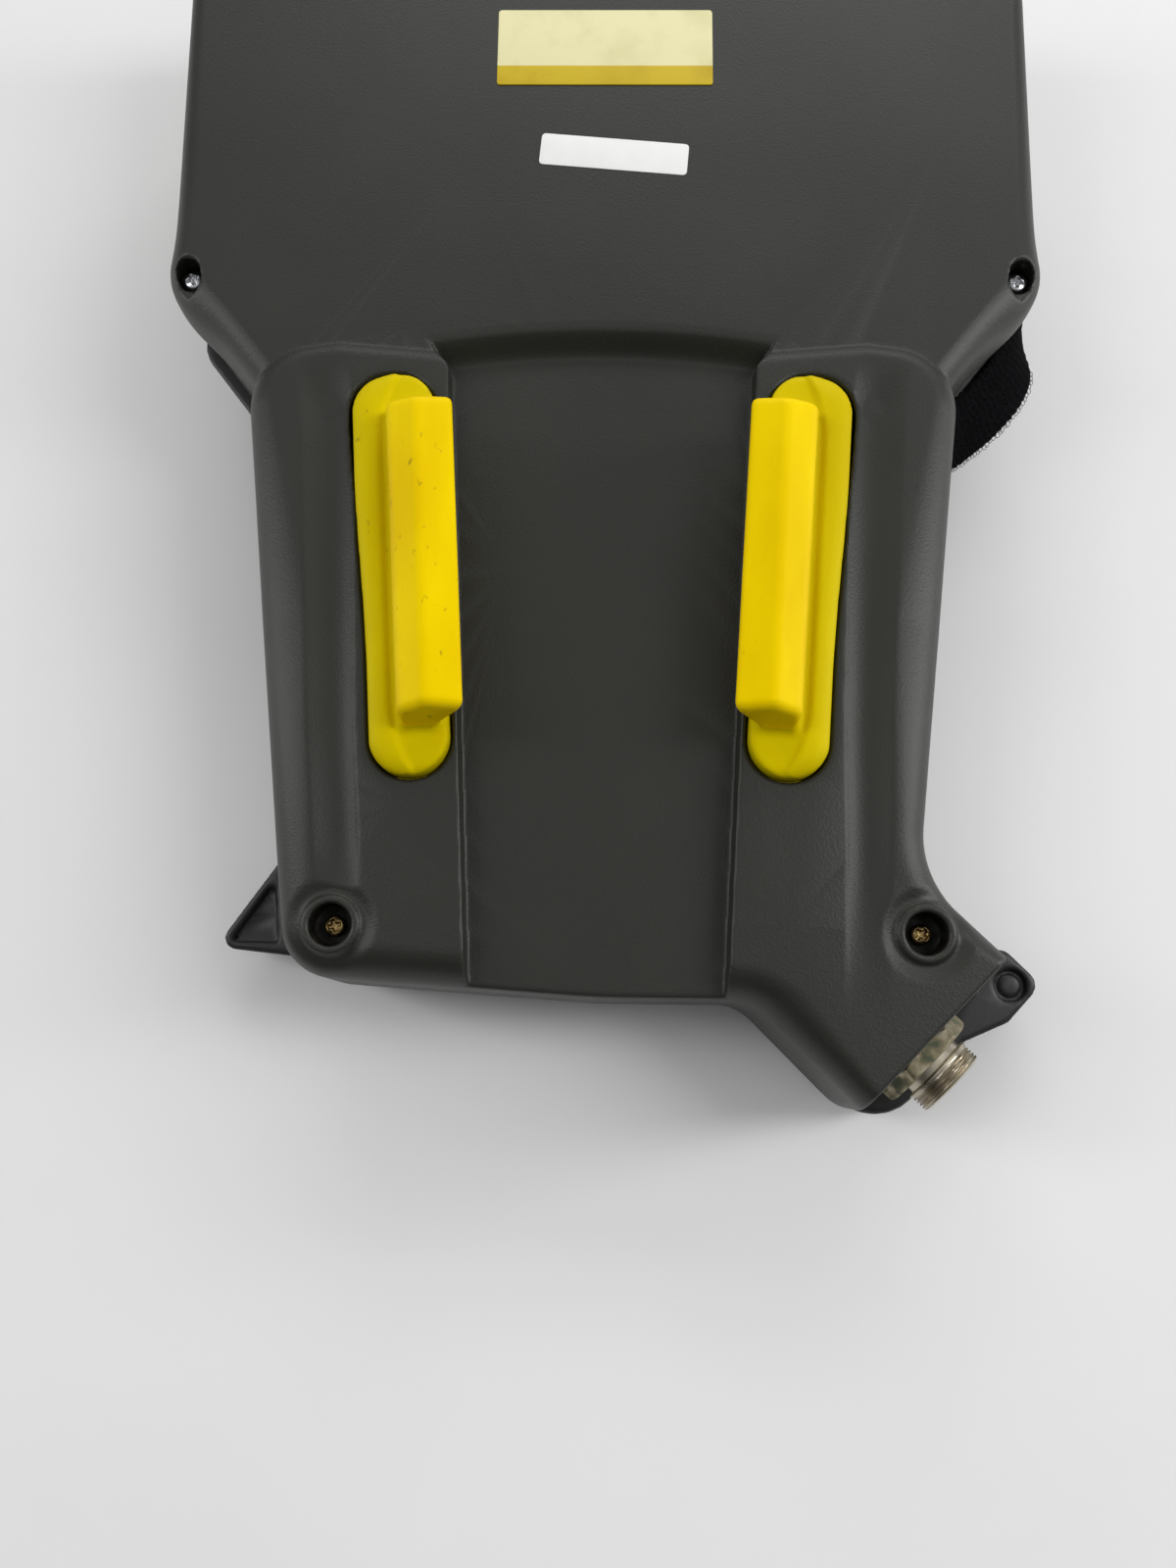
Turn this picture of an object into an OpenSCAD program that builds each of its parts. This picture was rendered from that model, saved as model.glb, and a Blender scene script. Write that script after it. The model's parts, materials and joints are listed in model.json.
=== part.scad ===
// Teach pendant, lying on its front: X across, Y towards the display head, Z out of the rear face.
// The front cover carries display, keys and switches; the rear cover carries grips and enabling levers.

/* [Head] */
// Width of the display head at its top edge
head_w = 256; // [248:1:270]
// Width of the display head at its lower corners
head_low_w = 253; // [246:1:258]
// Distance from the foot line up to the lower corners of the head
neck_l = 203; // [200:1:210]
// Distance from the lower corners up to the top edge of the head
head_l = 142; // [138:1:160]
// Radius of the head's top corners
head_r = 22; // [16:1:30]
// Radius of the head's lower corners
head_low_r = 14; // [13.5:0.5:18]

/* [Thickness] */
// Depth of the front cover, from its face to the parting line
front_d = 16; // [14:0.5:20]
// Depth of the rear cover, from the parting line to the head's back
rear_d = 38; // [36:0.5:44]
// Height by which the grips stand above the head's back
grip_rise = 1.5; // [0.8:0.1:3]
// Depth of the channel between the grips below the head's back
channel_d = 6; // [4:0.5:8]
// Wall thickness of both covers
wall = 3; // [2.5:0.1:3.4]
// Thickness of the gasket between the covers
gasket_t = 0.8; // [0.5:0.1:1.2]

/* [Moulding] */
// How far the side walls lean in over the depth of the rear cover
draft = 1.5; // [0.8:0.1:2]
// Height of the rounding along the rear edges
edge_rise = 12; // [9:0.5:13]
// Width of the rounding along the head's rear edges
head_edge = 11; // [7:0.5:11.5]
// Width of the rounding at the top of the grips
grip_edge_top = 19; // [14:0.5:20]
// Width of the rounding at the foot of the grips
grip_edge_low = 10; // [7:0.5:11]
// Width of the rounding round the cable outlet
lobe_edge = 6.5; // [4:0.5:7]
// Rounding of the front cover's front edge
front_edge = 6; // [3:0.5:8]

/* [Grips] */
// Half of the body's width at the foot line
foot_half = 82.4; // [80:0.2:85]
// Lean of the grips' outer edges
grip_tilt = 7.1; // [5:0.1:8]
// Half of the channel's width at the foot line
channel_half = 33; // [31:0.2:33.4]
// Lean of the channel's edges
channel_tilt = 3.3; // [2.5:0.1:3.6]
// Half of the distance between the creases at the foot line
crease_half = 60.4; // [59:0.2:62]
// Lean of the creases
crease_tilt = 3; // [2:0.1:4]
// Depth of the finger valley outside the crease
valley_d = 1.7; // [0.8:0.1:1.9]
// Width of the finger valley at the top of the grips
valley_w = 15; // [10:0.5:17]
// Height of the dome in the arch at the top of the channel
arch_rise = 4.5; // [2:0.5:7]
// Length of the soft ramp under the arch
arch_ramp = 8; // [5:0.5:11]

/* [Cable outlet] */
// Distance from the origin to the outlet's end wall, along the cable
lobe_reach = 73; // [71:0.1:75]
// Width of the outlet block
lobe_w = 57.6; // [56:0.2:60]
// Sideways place of the outlet's middle
lobe_mid = 54; // [53:0.2:55]
// Sideways place of the cable connector's axis
connector_mid = 50; // [49.4:0.2:51]
// Tilt of the end wall and of the connector towards the back, in degrees
connector_tilt = 11; // [9:0.5:12]
// Height of the cable connector's axis above the parting line
connector_h = 15; // [14.2:0.2:17]
// Thread diameter of the cable connector
connector_d = 20; // [16:0.5:20]
// Length of the connector beyond its nut
thread_l = 7.5; // [6:0.5:10]
// Width of the connector's nut across its flats
nut_af = 25; // [24:0.5:26]
// Thickness of the connector's nut
nut_t = 4.5; // [3:0.25:5]

/* [Enabling levers] */
// Length of an enabling pad
pad_l = 113; // [104:1:115]
// Width of an enabling pad at its lower end
pad_w = 21; // [19:0.2:21.6]
// Extra width of the pad's upper third
pad_swell = 1.8; // [0:0.2:2.4]
// Distance from the foot line to the lever's middle
pad_y = 108.6; // [106:0.2:110]
// Half of the distance between the two levers
pad_half = 52.8; // [52.6:0.1:53.6]
// Lean of the levers
pad_tilt = 4.3; // [3.5:0.1:4.6]
// Height of the pad above the grip
pad_h = 4.5; // [3:0.25:5]
// Length of the ridge
ridge_l = 89; // [72:1:94]
// Width of the ridge
ridge_w = 17; // [13:0.5:18]
// Height of the ridge above the grip
ridge_h = 17; // [14:0.5:19]
// Slope of the ridge's ends, in degrees
ridge_draft = 13; // [8:1:16]
// Travel of an enabling lever
lever_travel = 5; // [3:0.25:5.25]

/* [Emergency stop] */
// Height of the mushroom's face in front of the front cover
estop_h = 24; // [21:0.5:28]
// Diameter of the mushroom
estop_d = 38; // [34:0.5:40]
// Diameter of the mounting hole
estop_hole = 22.3; // [20:0.1:24]
// Travel of the mushroom
estop_travel = 4; // [3:0.25:5]

/* [Selector switch] */
// Diameter of the selector's knob
selector_d = 22; // [18:0.5:26]
// Height of the selector's knob in front of the front cover
selector_h = 17; // [15:0.5:20]

/* [Display and keys] */
// Width of the display window
window_w = 138; // [130:1:142]
// Height of the display window
window_l = 106; // [98:1:110]
// Width of the key sheet
keys_w = 124; // [118:1:130]
// Length of the key sheet
keys_l = 152; // [146:1:156]
// Columns of keys
key_columns = 7; // [5:1:7]
// Rows of keys
key_rows = 9; // [7:1:9]

/* [Bosses and screws] */
// Outer diameter of the raised rings round the lower screws
boss_d = 15.4; // [14:0.2:17]
// Bore of the raised rings
boss_bore = 10.8; // [9:0.2:11.4]
// Bore over the head's corner screws
corner_bore = 7.6; // [7:0.1:8.4]
// Depth of the screw heads below the rear surface
screw_sink = 7; // [5:0.5:8]
// Thread diameter of the cover screws
screw_d = 3; // [2.5:0.1:3.2]

/* [Hand strap] */
// Width of the hand strap
strap_w = 20; // [16:1:22]
// Thickness of the hand strap
strap_t = 2.2; // [1.6:0.1:2.6]

/* [Hidden] */
$fn = 48;
gap = 0.3;              // running clearance between parts that move or are dropped in
seat = 0.1;             // clearance between parts that are screwed face to face
arc_n = 6;              // facets along a rounded corner
rise_n = 6;             // facets along an edge rounding

// Heights
z_face = estop_h;                       // face of the front cover
z_part = z_face + front_d;              // parting line
z_back = z_part + rear_d;               // back of the head
z_grip = z_back + grip_rise;            // flat strips of the grips
z_channel = z_back - channel_d;         // floor of the channel
z_inside = z_face + wall;               // inner face of the front cover

// Places along the housing
y_corner = neck_l;
y_top = neck_l + head_l;
y_grip = neck_l - 17;                   // top of the lower body's outline
diag_run = 42;                          // how far the head's lower corners run in under the grips
diag_drop = 54;
foot_r = 16;                            // radius of the lower left corner
foot_sag = 5.5;                         // drop of the foot edge towards the middle
function grip_x(y) = foot_half + y * tan(grip_tilt);
function channel_x(y) = channel_half + y * tan(channel_tilt);
function crease_x(y) = crease_half + y * tan(crease_tilt);
function along(a, b) = [(a + b) / sqrt(2), (b - a) / sqrt(2)];  // outlet coordinates to X and Y
lobe_low = lobe_mid - lobe_w / 2;
lobe_high = lobe_mid + lobe_w / 2;
end_face = lobe_reach - draft;          // seat of the connector's nut, at the axis
wall_reach = lobe_reach + 2.5;          // the end wall at the parting line, further out as it is tilted
guard_reach = lobe_reach + 10.8;        // how far the front cover reaches under the connector
guard_r = 15;                           // radius of its lower corner
guard_corner = along(guard_reach - guard_r, lobe_low + 2 + guard_r);
neck_y = (lobe_high * sqrt(2) - foot_half) / (1 + tan(grip_tilt));
foot_y = 1.5;                           // foot edge at the left corner
elbow_y = foot_y - foot_sag;            // foot edge where the outlet block starts
foot_arc_r = 260;                       // the foot edge's slight bend there
elbow_x = lobe_low * sqrt(2) - elbow_y;

// Bosses and screws
boss_left = [-(foot_half + foot_y * tan(grip_tilt) - foot_r + 1.2), foot_y + foot_r - 2];
boss_right = along(lobe_reach - 24.6, lobe_high - 13.5);
corner_screw = [head_low_w / 2 - 6.5, y_corner + 0.5];
top_screw = [head_w / 2 - 14, y_top - 14];
head_t = 2.2;                           // thickness of a screw head
head_ratio = 1.87;                      // screw head diameter over thread diameter
column_d = 9;
pilot_d = screw_d * 0.84;               // hole that a screw cuts its thread into
thread_core_d = screw_d * 0.8;

// Enabling lever mechanism
lever_clear = 0.55;                     // gap round the pad in its opening
lever_drop = 14;                        // how far the lever's body reaches below the strip
lever_bottom = z_grip - lever_drop;
tab_l = 3;                              // retaining tabs at the lever's ends
tab_t = 2;
tray_z = z_part + 9;                    // top of the tray that carries switch and springs
tray_t = 2;
tray_w = pad_w - 2;
tray_l = pad_l + 26;
post_at = pad_l / 2 + 8;                // distance of the tray's screws from the lever's middle
post_d = 8;
switch_l = 34;
switch_h = 10;
stem_d = 5;
spring_d = 8;
spring_wire = 0.9;
spring_x = 36;

// Emergency stop
estop_at = [-head_w / 2 + 27, y_top - 52];
mushroom_t = 12;
collar_t = 5;
collar_d = estop_d + 6;
barrel_in = 20;                         // barrel length behind the face
block_size = [30, 34, 18];
plunger_d = 9;
sleeve_d = 16;                          // sleeve behind the mushroom, which turns in the collar
panel_nut_t = 4;
estop_spring_d = 15;

// Selector switch
selector_at = [head_w / 2 - 27, y_top - 34];
bezel_t = 2.5;
selector_in = 16;
selector_hole = selector_d * 0.73;

// Display, keys and boards
window_t = 2;
window_at = [0, y_top - 18 - window_l / 2];
panel_t = 7;
board_t = 1.6;
keys_t = 1;
keys_at = [0, 6 + keys_l / 2];
key_margin = 5;
key_h = 1;
row_w = window_w;
row_l = 14;
row_at = [0, window_at.y - window_l / 2 - 7 - row_l / 2];
row_keys = 7;
row_margin = 2.5;
board_z = z_inside + 0.2;
main_board_z = z_part + 8;
main_board_size = [window_w + 12, window_l + 6];
main_board_at = [0, window_at.y + 4];
post_pitch = [window_w + 2, window_l - 4];
frame_z = z_inside + panel_t + 0.4;     // underside of the frame that holds the panel
frame_t = 1.2;
inverter_size = [104, 18];
inverter_at = main_board_at - [0, main_board_size.y / 2 + 14];
inverter_z = z_part + 4;

// Hand strap: middle line [x, y, z, lean] of the webbing, from the upper to the lower end
function side_x(y) = (head_low_w + (head_w - head_low_w) * (y - y_corner) / head_l) / 2;
side_tilt = atan((head_w - head_low_w) / 2 / head_l);
strap_off = gap + strap_t / 2;
function beside_grip(x, y, lean) = max(x, grip_x(y) + strap_off + 0.6 + strap_w / 2 * sin(lean));
strap_high_y = y_corner + 34;           // the upper screw
strap_low_y = 50;                       // the lower screw
strap_path = [
    [side_x(strap_high_y + 9) + strap_off, strap_high_y + 9, 50, 0],
    [side_x(strap_high_y) + strap_off, strap_high_y, 50, 0],
    [side_x(y_corner + 22) + strap_off, y_corner + 22, 50, 0],
    [side_x(y_corner + 9) + strap_off + 1.8, y_corner + 9, 50.5, 6],
    [side_x(y_corner) + strap_off + 3.2, y_corner - 3, 51, 22],
    [side_x(y_corner) + strap_off - 0.4, y_corner - 14, 51, 38],
    [beside_grip(side_x(y_corner) - 9.2, y_corner - 25, 38), y_corner - 25, 51, 38],
    [beside_grip(side_x(y_corner) - 17.6, y_corner - 39, 24), y_corner - 39, 51, 24],
    [grip_x(150) + strap_off + 1.4, 150, 48, 6],
    [grip_x(132) + strap_off + 1.2, 132, 42, 0],
    [grip_x(108) + strap_off + 1.2, 108, 38, 0],
    [grip_x(84) + strap_off + 1, 84, 36, 0],
    [grip_x(62) + strap_off, 62, 35, 0],
    [grip_x(strap_low_y) + strap_off, strap_low_y, 35, 0],
    [grip_x(strap_low_y - 8) + strap_off, strap_low_y - 8, 35, 0]
];
function strap_edge(p) = p.x + strap_w / 2 * sin(p[3]) + strap_t / 2 * cos(p[3]);
washer_d = 12;
washer_t = 1.4;
strap_boss_d = 7;
strap_boss_l = 11;

// The frame stands on the middle of the object's box
reach_x = [-head_w / 2, max([for (p = strap_path) strap_edge(p)])];
reach_y = [guard_corner.y - guard_r, y_top];
shift = [-(reach_x[0] + reach_x[1]) / 2, -(reach_y[0] + reach_y[1]) / 2, 0];

// ---- Outlines: lists of [point, outward direction, rounding width] ----

function unit(v) = v / norm(v);
function total(list) = [for (v = list) 1] * list;
function turned(v, a) = [v.x * cos(a) - v.y * sin(a), v.x * sin(a) + v.y * cos(a)];

// One rounded corner of a polygon; q is [x, y, radius, rounding width]
function corner(p, q, s) =
    let (
        at = [q.x, q.y],
        u = unit([p.x, p.y] - at),
        v = unit([s.x, s.y] - at),
        turn = sign(cross(v, u)),
        half = acos(u * v) / 2,
        centre = at + unit(u + v) * q[2] / sin(half),
        start = unit(at + u * q[2] / tan(half) - centre)
    )
    [for (i = [0 : arc_n])
        let (d = turned(start, turn * (180 - 2 * half) * i / arc_n))
        [centre + q[2] * d, turn * d, q[3]]];

function outline(q) =
    [for (i = [0 : len(q) - 1])
        each corner(q[(i + len(q) - 1) % len(q)], q[i], q[(i + 1) % len(q)])];

function flat(line, inset = 0) = [for (o = line) o[0] - inset * o[1]];

// Rings of a drafted wall that rolls over into a flat top
function wall_rings(line, z0, z1, rise, lean, inset) =
    concat(
        [[for (o = line) concat(o[0] - inset * o[1], z0)]],
        [for (k = [0 : rise_n])
            let (a = 90 * k / rise_n)
            [for (o = line)
                concat(
                    o[0] - (inset + lean + max(o[2] - inset, 0.5) * (1 - cos(a))) * o[1],
                    z1 - rise + rise * sin(a)
                )]]
    );

// Triangles that fill a flat ring of points with inward corners, cut off one ear at a time
function around(p, loop, i) = p[loop[(i + len(loop)) % len(loop)]];
function inside(q, a, b, c, n) =
    min(cross(b - a, q - a) * n, cross(c - b, q - b) * n, cross(a - c, q - c) * n) > -1e-6;
function is_ear(p, loop, i, n) =
    let (a = around(p, loop, i - 1), b = around(p, loop, i), c = around(p, loop, i + 1), last = len(loop) - 1)
    cross(b - a, c - b) * n > 1e-6
    && len([for (k = [2 : last - 1]) if (inside(around(p, loop, i + k), a, b, c, n)) k]) == 0;
function without(loop, i) = [for (k = [0 : len(loop) - 1]) if (k != i) loop[k]];
function cap(p, loop) = ears(p, loop, unit(total([for (i = [0 : len(loop) - 1])
    cross(around(p, loop, i) - p[loop[0]], around(p, loop, i + 1) - p[loop[0]])])));
function ears(p, loop, n) =
    len(loop) == 3 ? [loop] :
    let (i = [for (k = [0 : len(loop) - 1]) if (is_ear(p, loop, k, n)) k][0], m = len(loop))
    concat([[loop[(i + m - 1) % m], loop[i], loop[(i + 1) % m]]], ears(p, without(loop, i), n));

// Solid through a list of rings; split cuts the four-cornered faces of a twisted wall in two
module loft(rings, split = false) {
    n = len(rings[0]);
    m = len(rings);
    quads = [for (j = [0 : m - 2], i = [0 : n - 1])
        [j * n + i, (j + 1) * n + i, (j + 1) * n + (i + 1) % n, j * n + (i + 1) % n]];
    sides = split ? [for (q = quads) each [[q[0], q[1], q[2]], [q[0], q[2], q[3]]]] : quads;
    points = [for (r = rings) each r];
    bottom = [for (i = [0 : n - 1]) i];
    top = [for (i = [n - 1 : -1 : 0]) (m - 1) * n + i];
    polyhedron(points, concat(cap(points, bottom), sides, cap(points, top)));
}

module place() {
    translate(shift) children();
}

module both_sides() {
    children();
    mirror([1, 0, 0]) children();
}

// ---- Rear cover ----

head_line = outline([
    [-head_low_w / 2 + diag_run, y_corner - diag_drop, 14, head_edge],
    [head_low_w / 2 - diag_run, y_corner - diag_drop, 14, head_edge],
    [head_low_w / 2, y_corner, head_low_r, head_edge],
    [head_w / 2, y_top, head_r, head_edge],
    [-head_w / 2, y_top, head_r, head_edge],
    [-head_low_w / 2, y_corner, head_low_r, head_edge]
]);

body_line = outline([
    [grip_x(y_grip), y_grip, 24, grip_edge_top],
    [-grip_x(y_grip), y_grip, 24, grip_edge_top],
    [-grip_x(foot_y), foot_y, foot_r, grip_edge_low],
    [0, elbow_y, foot_arc_r, grip_edge_low],
    [elbow_x, elbow_y, 14, grip_edge_low],
    concat(along(wall_reach, lobe_low), [9, lobe_edge]),
    concat(along(wall_reach, lobe_high), [8, lobe_edge - 1]),
    [grip_x(neck_y), neck_y, 24, grip_edge_low - 1]
]);

// Channel between the grips, as a ring of points; ramp moves the arch up the head
function channel_ring(z, ramp, grow) =
    let (
        spike_y = neck_l - 23,
        spike_x = channel_x(spike_y) + 6,
        low_y = -30
    )
    concat(
        [[-channel_x(low_y) - grow, low_y, z], [channel_x(low_y) + grow, low_y, z]],
        [[channel_x(spike_y - 9) + grow, spike_y - 9, z], [spike_x + grow, spike_y + ramp, z]],
        [for (i = [1 : 7])
            let (t = 1 - i / 4)
            [(spike_x + grow) * t, spike_y + ramp + grow + arch_rise * (1 - t * t), z]],
        [[-spike_x - grow, spike_y + ramp, z], [-channel_x(spike_y - 9) - grow, spike_y - 9, z]]
    );

module channel(grow, drop) {
    steps = 5;
    loft(concat(
        [for (k = [0 : steps])
            let (t = k / steps)
            channel_ring(
                z_channel - drop + channel_d * t,
                arch_ramp * (acos(1 - 2 * t) / 180 - 1),
                grow
            )],
        [channel_ring(z_grip + 5, 0, grow)]
    ));
}

// Rolls the channel's floor over the foot edge
module foot_roll(grow) {
    roll = edge_rise - 2;
    y0 = elbow_y + draft + roll;
    half = channel_half + grow;
    translate([-half, 0, 0]) rotate([90, 0, 90]) linear_extrude(2 * half) difference() {
        translate([y0 - 40, z_channel - roll]) square([40, 40]);
        translate([y0, z_channel - roll]) circle(roll - grow);
    }
}

// Shallow valley for the fingers, between the crease and the outer edge
module finger_valley() {
    stations = 9;
    y_low = foot_y + 32;
    y_high = neck_l - 42;
    ring_n = 8;
    loft([for (k = [stations : -1 : 0])
        let (
            t = k / stations,
            y = y_low + (y_high - y_low) * t,
            w = valley_w * (0.78 + 0.22 * t),
            d = valley_d * pow(sin(180 * (0.04 + 0.92 * t)), 0.6),
            x = crease_x(y)
        )
        concat(
            [for (i = [0 : ring_n]) [x + w * i / ring_n, y, z_grip - d * sin(180 * i / ring_n)]],
            [[x + w + 1, y, z_grip + 3], [x - 1, y, z_grip + 3]]
        )]);
}

module solid_rear(inset, rise) {
    loft(wall_rings(head_line, z_part - inset, z_back - inset, rise, draft, inset));
    difference() {
        loft(wall_rings(body_line, z_part - inset, z_grip - inset, rise, draft, inset));
        if (inset == 0) both_sides() finger_valley();
    }
}

module at_places(list, z) {
    for (p = list) translate([p.x, p.y, z]) children();
}

corner_places = [for (p = [corner_screw, top_screw], side = [-1, 1]) [side * p.x, p.y]];
boss_places = [boss_left, boss_right];
corner_seat = z_back - screw_sink - 2;      // level of the corner screws' heads
boss_seat = z_grip - screw_sink;            // level of the lower screws' heads

// Inside of the rear cover, clear of the columns and of the posts that carry the levers' trays
module rear_inside() {
    difference() {
        solid_rear(wall, edge_rise - wall);
        channel(wall, wall);
        foot_roll(wall);
        at_places(corner_places, z_part - 5) cylinder(h = rear_d, d = corner_bore + 3.4);
        at_places(boss_places, z_part - 5) cylinder(h = rear_d + 5, d = boss_d);
        both_sides() at_lever() tray_posts();
        past_end(0);
        at_strap_screw(0) mirror([0, 0, 1]) cylinder(h = strap_boss_l, d = strap_boss_d);
    }
}

// Everything beyond the outlet's tilted end wall, from a depth counted from the wall's inner side
module past_end(depth) {
    at_connector() translate([-50, -lobe_w, depth]) cube([100, 2 * lobe_w, 40]);
}

module rear_cover() {
    color([0.24, 0.24, 0.23]) place() difference() {
        union() {
            difference() {
                solid_rear(0, edge_rise);
                channel(0, 0);
                foot_roll(0);
            }
            at_places(boss_places, z_grip - 8) cylinder(h = 8.4, d1 = boss_d + 3, d2 = boss_d);
        }
        rear_inside();
        at_places(corner_places, corner_seat) cylinder(h = rear_d, d = corner_bore);
        at_places(boss_places, boss_seat) cylinder(h = rear_d, d = boss_bore);
        at_places(concat(corner_places, boss_places), 0) cylinder(h = z_grip, d = screw_d + 0.4);
        both_sides() at_lever() translate([0, 0, tray_z]) linear_extrude(60) pad_shape(lever_clear);
        both_sides() at_lever() tray_screw_holes();
        at_connector() translate([0, 0, -4]) cylinder(h = wall + 12, d = connector_d + 0.4);
        past_end(wall);
        at_strap_screw(0) mirror([0, 0, 1]) cylinder(h = strap_boss_l - 1, d = pilot_d);
    }
}

// ---- Enabling levers, drawn for the right-hand side ----

module at_lever() {
    translate([pad_half, pad_y, 0]) rotate(-pad_tilt) children();
}

module pad_shape(grow) {
    r = pad_w / 2 + grow;
    reach = (pad_l - pad_w) / 2;
    offset(-8, $fn = 32) offset(8, $fn = 32) union() {
        hull() {
            translate([0, -reach]) circle(r, $fn = 40);
            translate([0, reach - pad_swell]) circle(r, $fn = 40);
        }
        hull() for (v = [0, 0.28])
            translate([pad_swell / 2, reach - pad_swell - v * pad_l]) circle(r + pad_swell / 2, $fn = 40);
    }
}

module ridge() {
    under = z_grip + lever_travel + 0.8;
    deck = z_grip + pad_h - 0.5;
    outer_edge = 1.3;
    top = z_grip + ridge_h;
    inner_edge = outer_edge - ridge_w;
    root = inner_edge + 7;
    function section(end, crown) = [
        for (p = [
            [outer_edge, deck], [root, deck], [root, under], [root - 1, under],
            [inner_edge, top - 5], [inner_edge, top - 3], [crown, top], [outer_edge, top - 4]
        ])
        [p.x, end * (ridge_l / 2 - (p.y - deck) * tan(ridge_draft)), p.y]
    ];
    loft([
        section(-1, outer_edge - ridge_w * 0.47),
        section(1, outer_edge - ridge_w * 0.55)
    ]);
}

module lever() {
    tab_at = pad_l / 2 - 3;
    color([0.93, 0.83, 0.02]) {
        difference() {
            union() {
                translate([0, 0, lever_bottom]) linear_extrude(lever_drop + pad_h - 1.2) pad_shape(0);
                translate([0, 0, z_grip + pad_h - 1.2]) linear_extrude(1.2) offset(-0.9) pad_shape(0);
                for (side = [-1, 1])
                    translate([-4, side * tab_at - tab_l - 1, z_grip - wall - gap - tab_t])
                        cube([8, 2 * (tab_l + 1), tab_t]);
            }
            for (side = [-1, 1])
                translate([0, side * spring_x, lever_bottom - 1]) cylinder(h = 9, d = spring_d + 1);
        }
        ridge();
    }
}

module tray_posts() {
    for (side = [-1, 1])
        translate([0, side * post_at, tray_z]) cylinder(h = z_grip - tray_z - 1, d = post_d);
}

module tray_screw_holes() {
    for (side = [-1, 1])
        translate([0, side * post_at, tray_z - 1]) cylinder(h = 10, d = pilot_d);
}

module tray() {
    difference() {
        union() {
            translate([-tray_w / 2, -tray_l / 2, tray_z - tray_t]) cube([tray_w, tray_l, tray_t]);
            for (side = [-1, 1]) {
                translate([0, side * spring_x, tray_z]) cylinder(h = 2, d = spring_d - 2 * spring_wire - 0.6);
                translate([-tray_w / 2, side * (switch_l / 2 + 1 + seat) - 1, tray_z]) cube([tray_w, 2, 4]);
            }
        }
        for (side = [-1, 1])
            translate([0, side * post_at, tray_z - 5]) cylinder(h = 10, d = screw_d + 0.4);
    }
}

module lever_switch() {
    difference() {
        translate([-7, -switch_l / 2, tray_z]) cube([14, switch_l, switch_h]);
        translate([0, 0, tray_z + 1.5]) cylinder(h = switch_h, d = stem_d + 0.6);
        for (side = [-1, 1])
            translate([-8, side * 12, tray_z + 3]) rotate([0, 90, 0]) cylinder(h = 16, d = 2.6);
    }
    for (i = [-1 : 1]) translate([7, i * 5 - 1, tray_z + 3]) cube([3, 2, 0.8]);
}

module lever_stem() {
    translate([0, 0, tray_z + switch_h - 1.5])
        cylinder(h = lever_bottom - tray_z - switch_h + 1.5, d = stem_d);
    translate([0, 0, tray_z + switch_h + lever_travel + 0.4])
        cylinder(h = lever_bottom - tray_z - switch_h - lever_travel - 0.4, d = stem_d + 4);
}

// Coil spring standing on the origin
module coil(d, wire, h, turns) {
    steps = 12;
    sides = 5;
    r = (d - wire) / 2;
    loft([for (k = [0 : turns * steps])
        let (a = 360 * k / steps, z = wire / 2 + (h - wire) * k / (turns * steps))
        [for (i = [sides - 1 : -1 : 0])
            let (b = 360 * i / sides, q = r + wire / 2 * cos(b))
            [q * cos(a), q * sin(a), z + wire / 2 * sin(b)]]], split = true);
}

module lever_springs() {
    for (side = [-1, 1]) translate([0, side * spring_x, tray_z + 0.05])
        coil(spring_d, spring_wire, lever_bottom + 8 - tray_z - 0.1, 5);
}

module lever_tray_screws() {
    for (side = [-1, 1]) translate([0, side * post_at, tray_z - tray_t])
        mirror([0, 0, 1]) screw(thread_core_d, 9);
}

// Pan-head screw with a cross recess, head up, seated on the origin
module screw(d, l) {
    head_d = screw_d * head_ratio;
    difference() {
        union() {
            cylinder(h = head_t, d = head_d);
            translate([0, 0, -l]) cylinder(h = l + 0.1, d = d);
        }
        for (a = [0, 90]) rotate(a) translate([-head_d * 0.3, -0.4, head_t - 1]) cube([head_d * 0.6, 0.8, 2]);
    }
}

// ---- Front cover ----

front_drop = 5;                         // how much lower the front cover's lower head corners lie
z_rim = z_part - gasket_t;

front_head_line = outline([
    [-head_low_w / 2 + diag_run - 1, y_corner - diag_drop - front_drop, 14, front_edge],
    [head_low_w / 2 - diag_run + 1, y_corner - diag_drop - front_drop, 14, front_edge],
    [head_low_w / 2 + 0.5, y_corner - front_drop, head_low_r, front_edge],
    [head_w / 2, y_top, head_r, front_edge],
    [-head_w / 2, y_top, head_r, front_edge],
    [-head_low_w / 2 - 0.5, y_corner - front_drop, head_low_r, front_edge]
]);

front_body_line = [for (o = body_line) [o[0], o[1], front_edge]];

// Ears of the front cover: the left one at the foot corner, the right one at the outlet's corner
ear_t = 8;
ear_z = z_rim - 1.2 - ear_t;
foot_corner = [-grip_x(foot_y), foot_y];
outlet_corner = along(lobe_reach - 0.7, lobe_high);
ear_left = [for (p = [[-28.4, 9.5], [2.5, 6.3], [2.5, 38.5], [-9.2, 37.5]]) foot_corner + p];
ear_left_recess = [for (p = [[-24, 11.2], [-10, 10.8], [-11.6, 26.6], [-13.4, 27]]) foot_corner + p];
ear_right = [for (p = [[-6.5, -21.5], [7.6, -15.4], [17.8, -4.6], [7.5, 5.6], [-1.2, 3.6], [-13.7, -3.4]])
    outlet_corner + p];
ear_right_recess = outlet_corner + [8.7, -5];
ear_right_recess_d = 8.2;

module rounded(r) {
    offset(r, $fn = 32) offset(-r, $fn = 32) children();
}

module outlet_guard() {
    hull() {
        translate(guard_corner) circle(guard_r);
        translate(along(guard_reach - 4, lobe_high - 16)) circle(4);
        polygon([
            along(lobe_reach - 14, lobe_low + 2),
            along(lobe_reach - 4, lobe_high - 4),
            along(lobe_reach - 14, lobe_high - 4)
        ]);
    }
}

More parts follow.
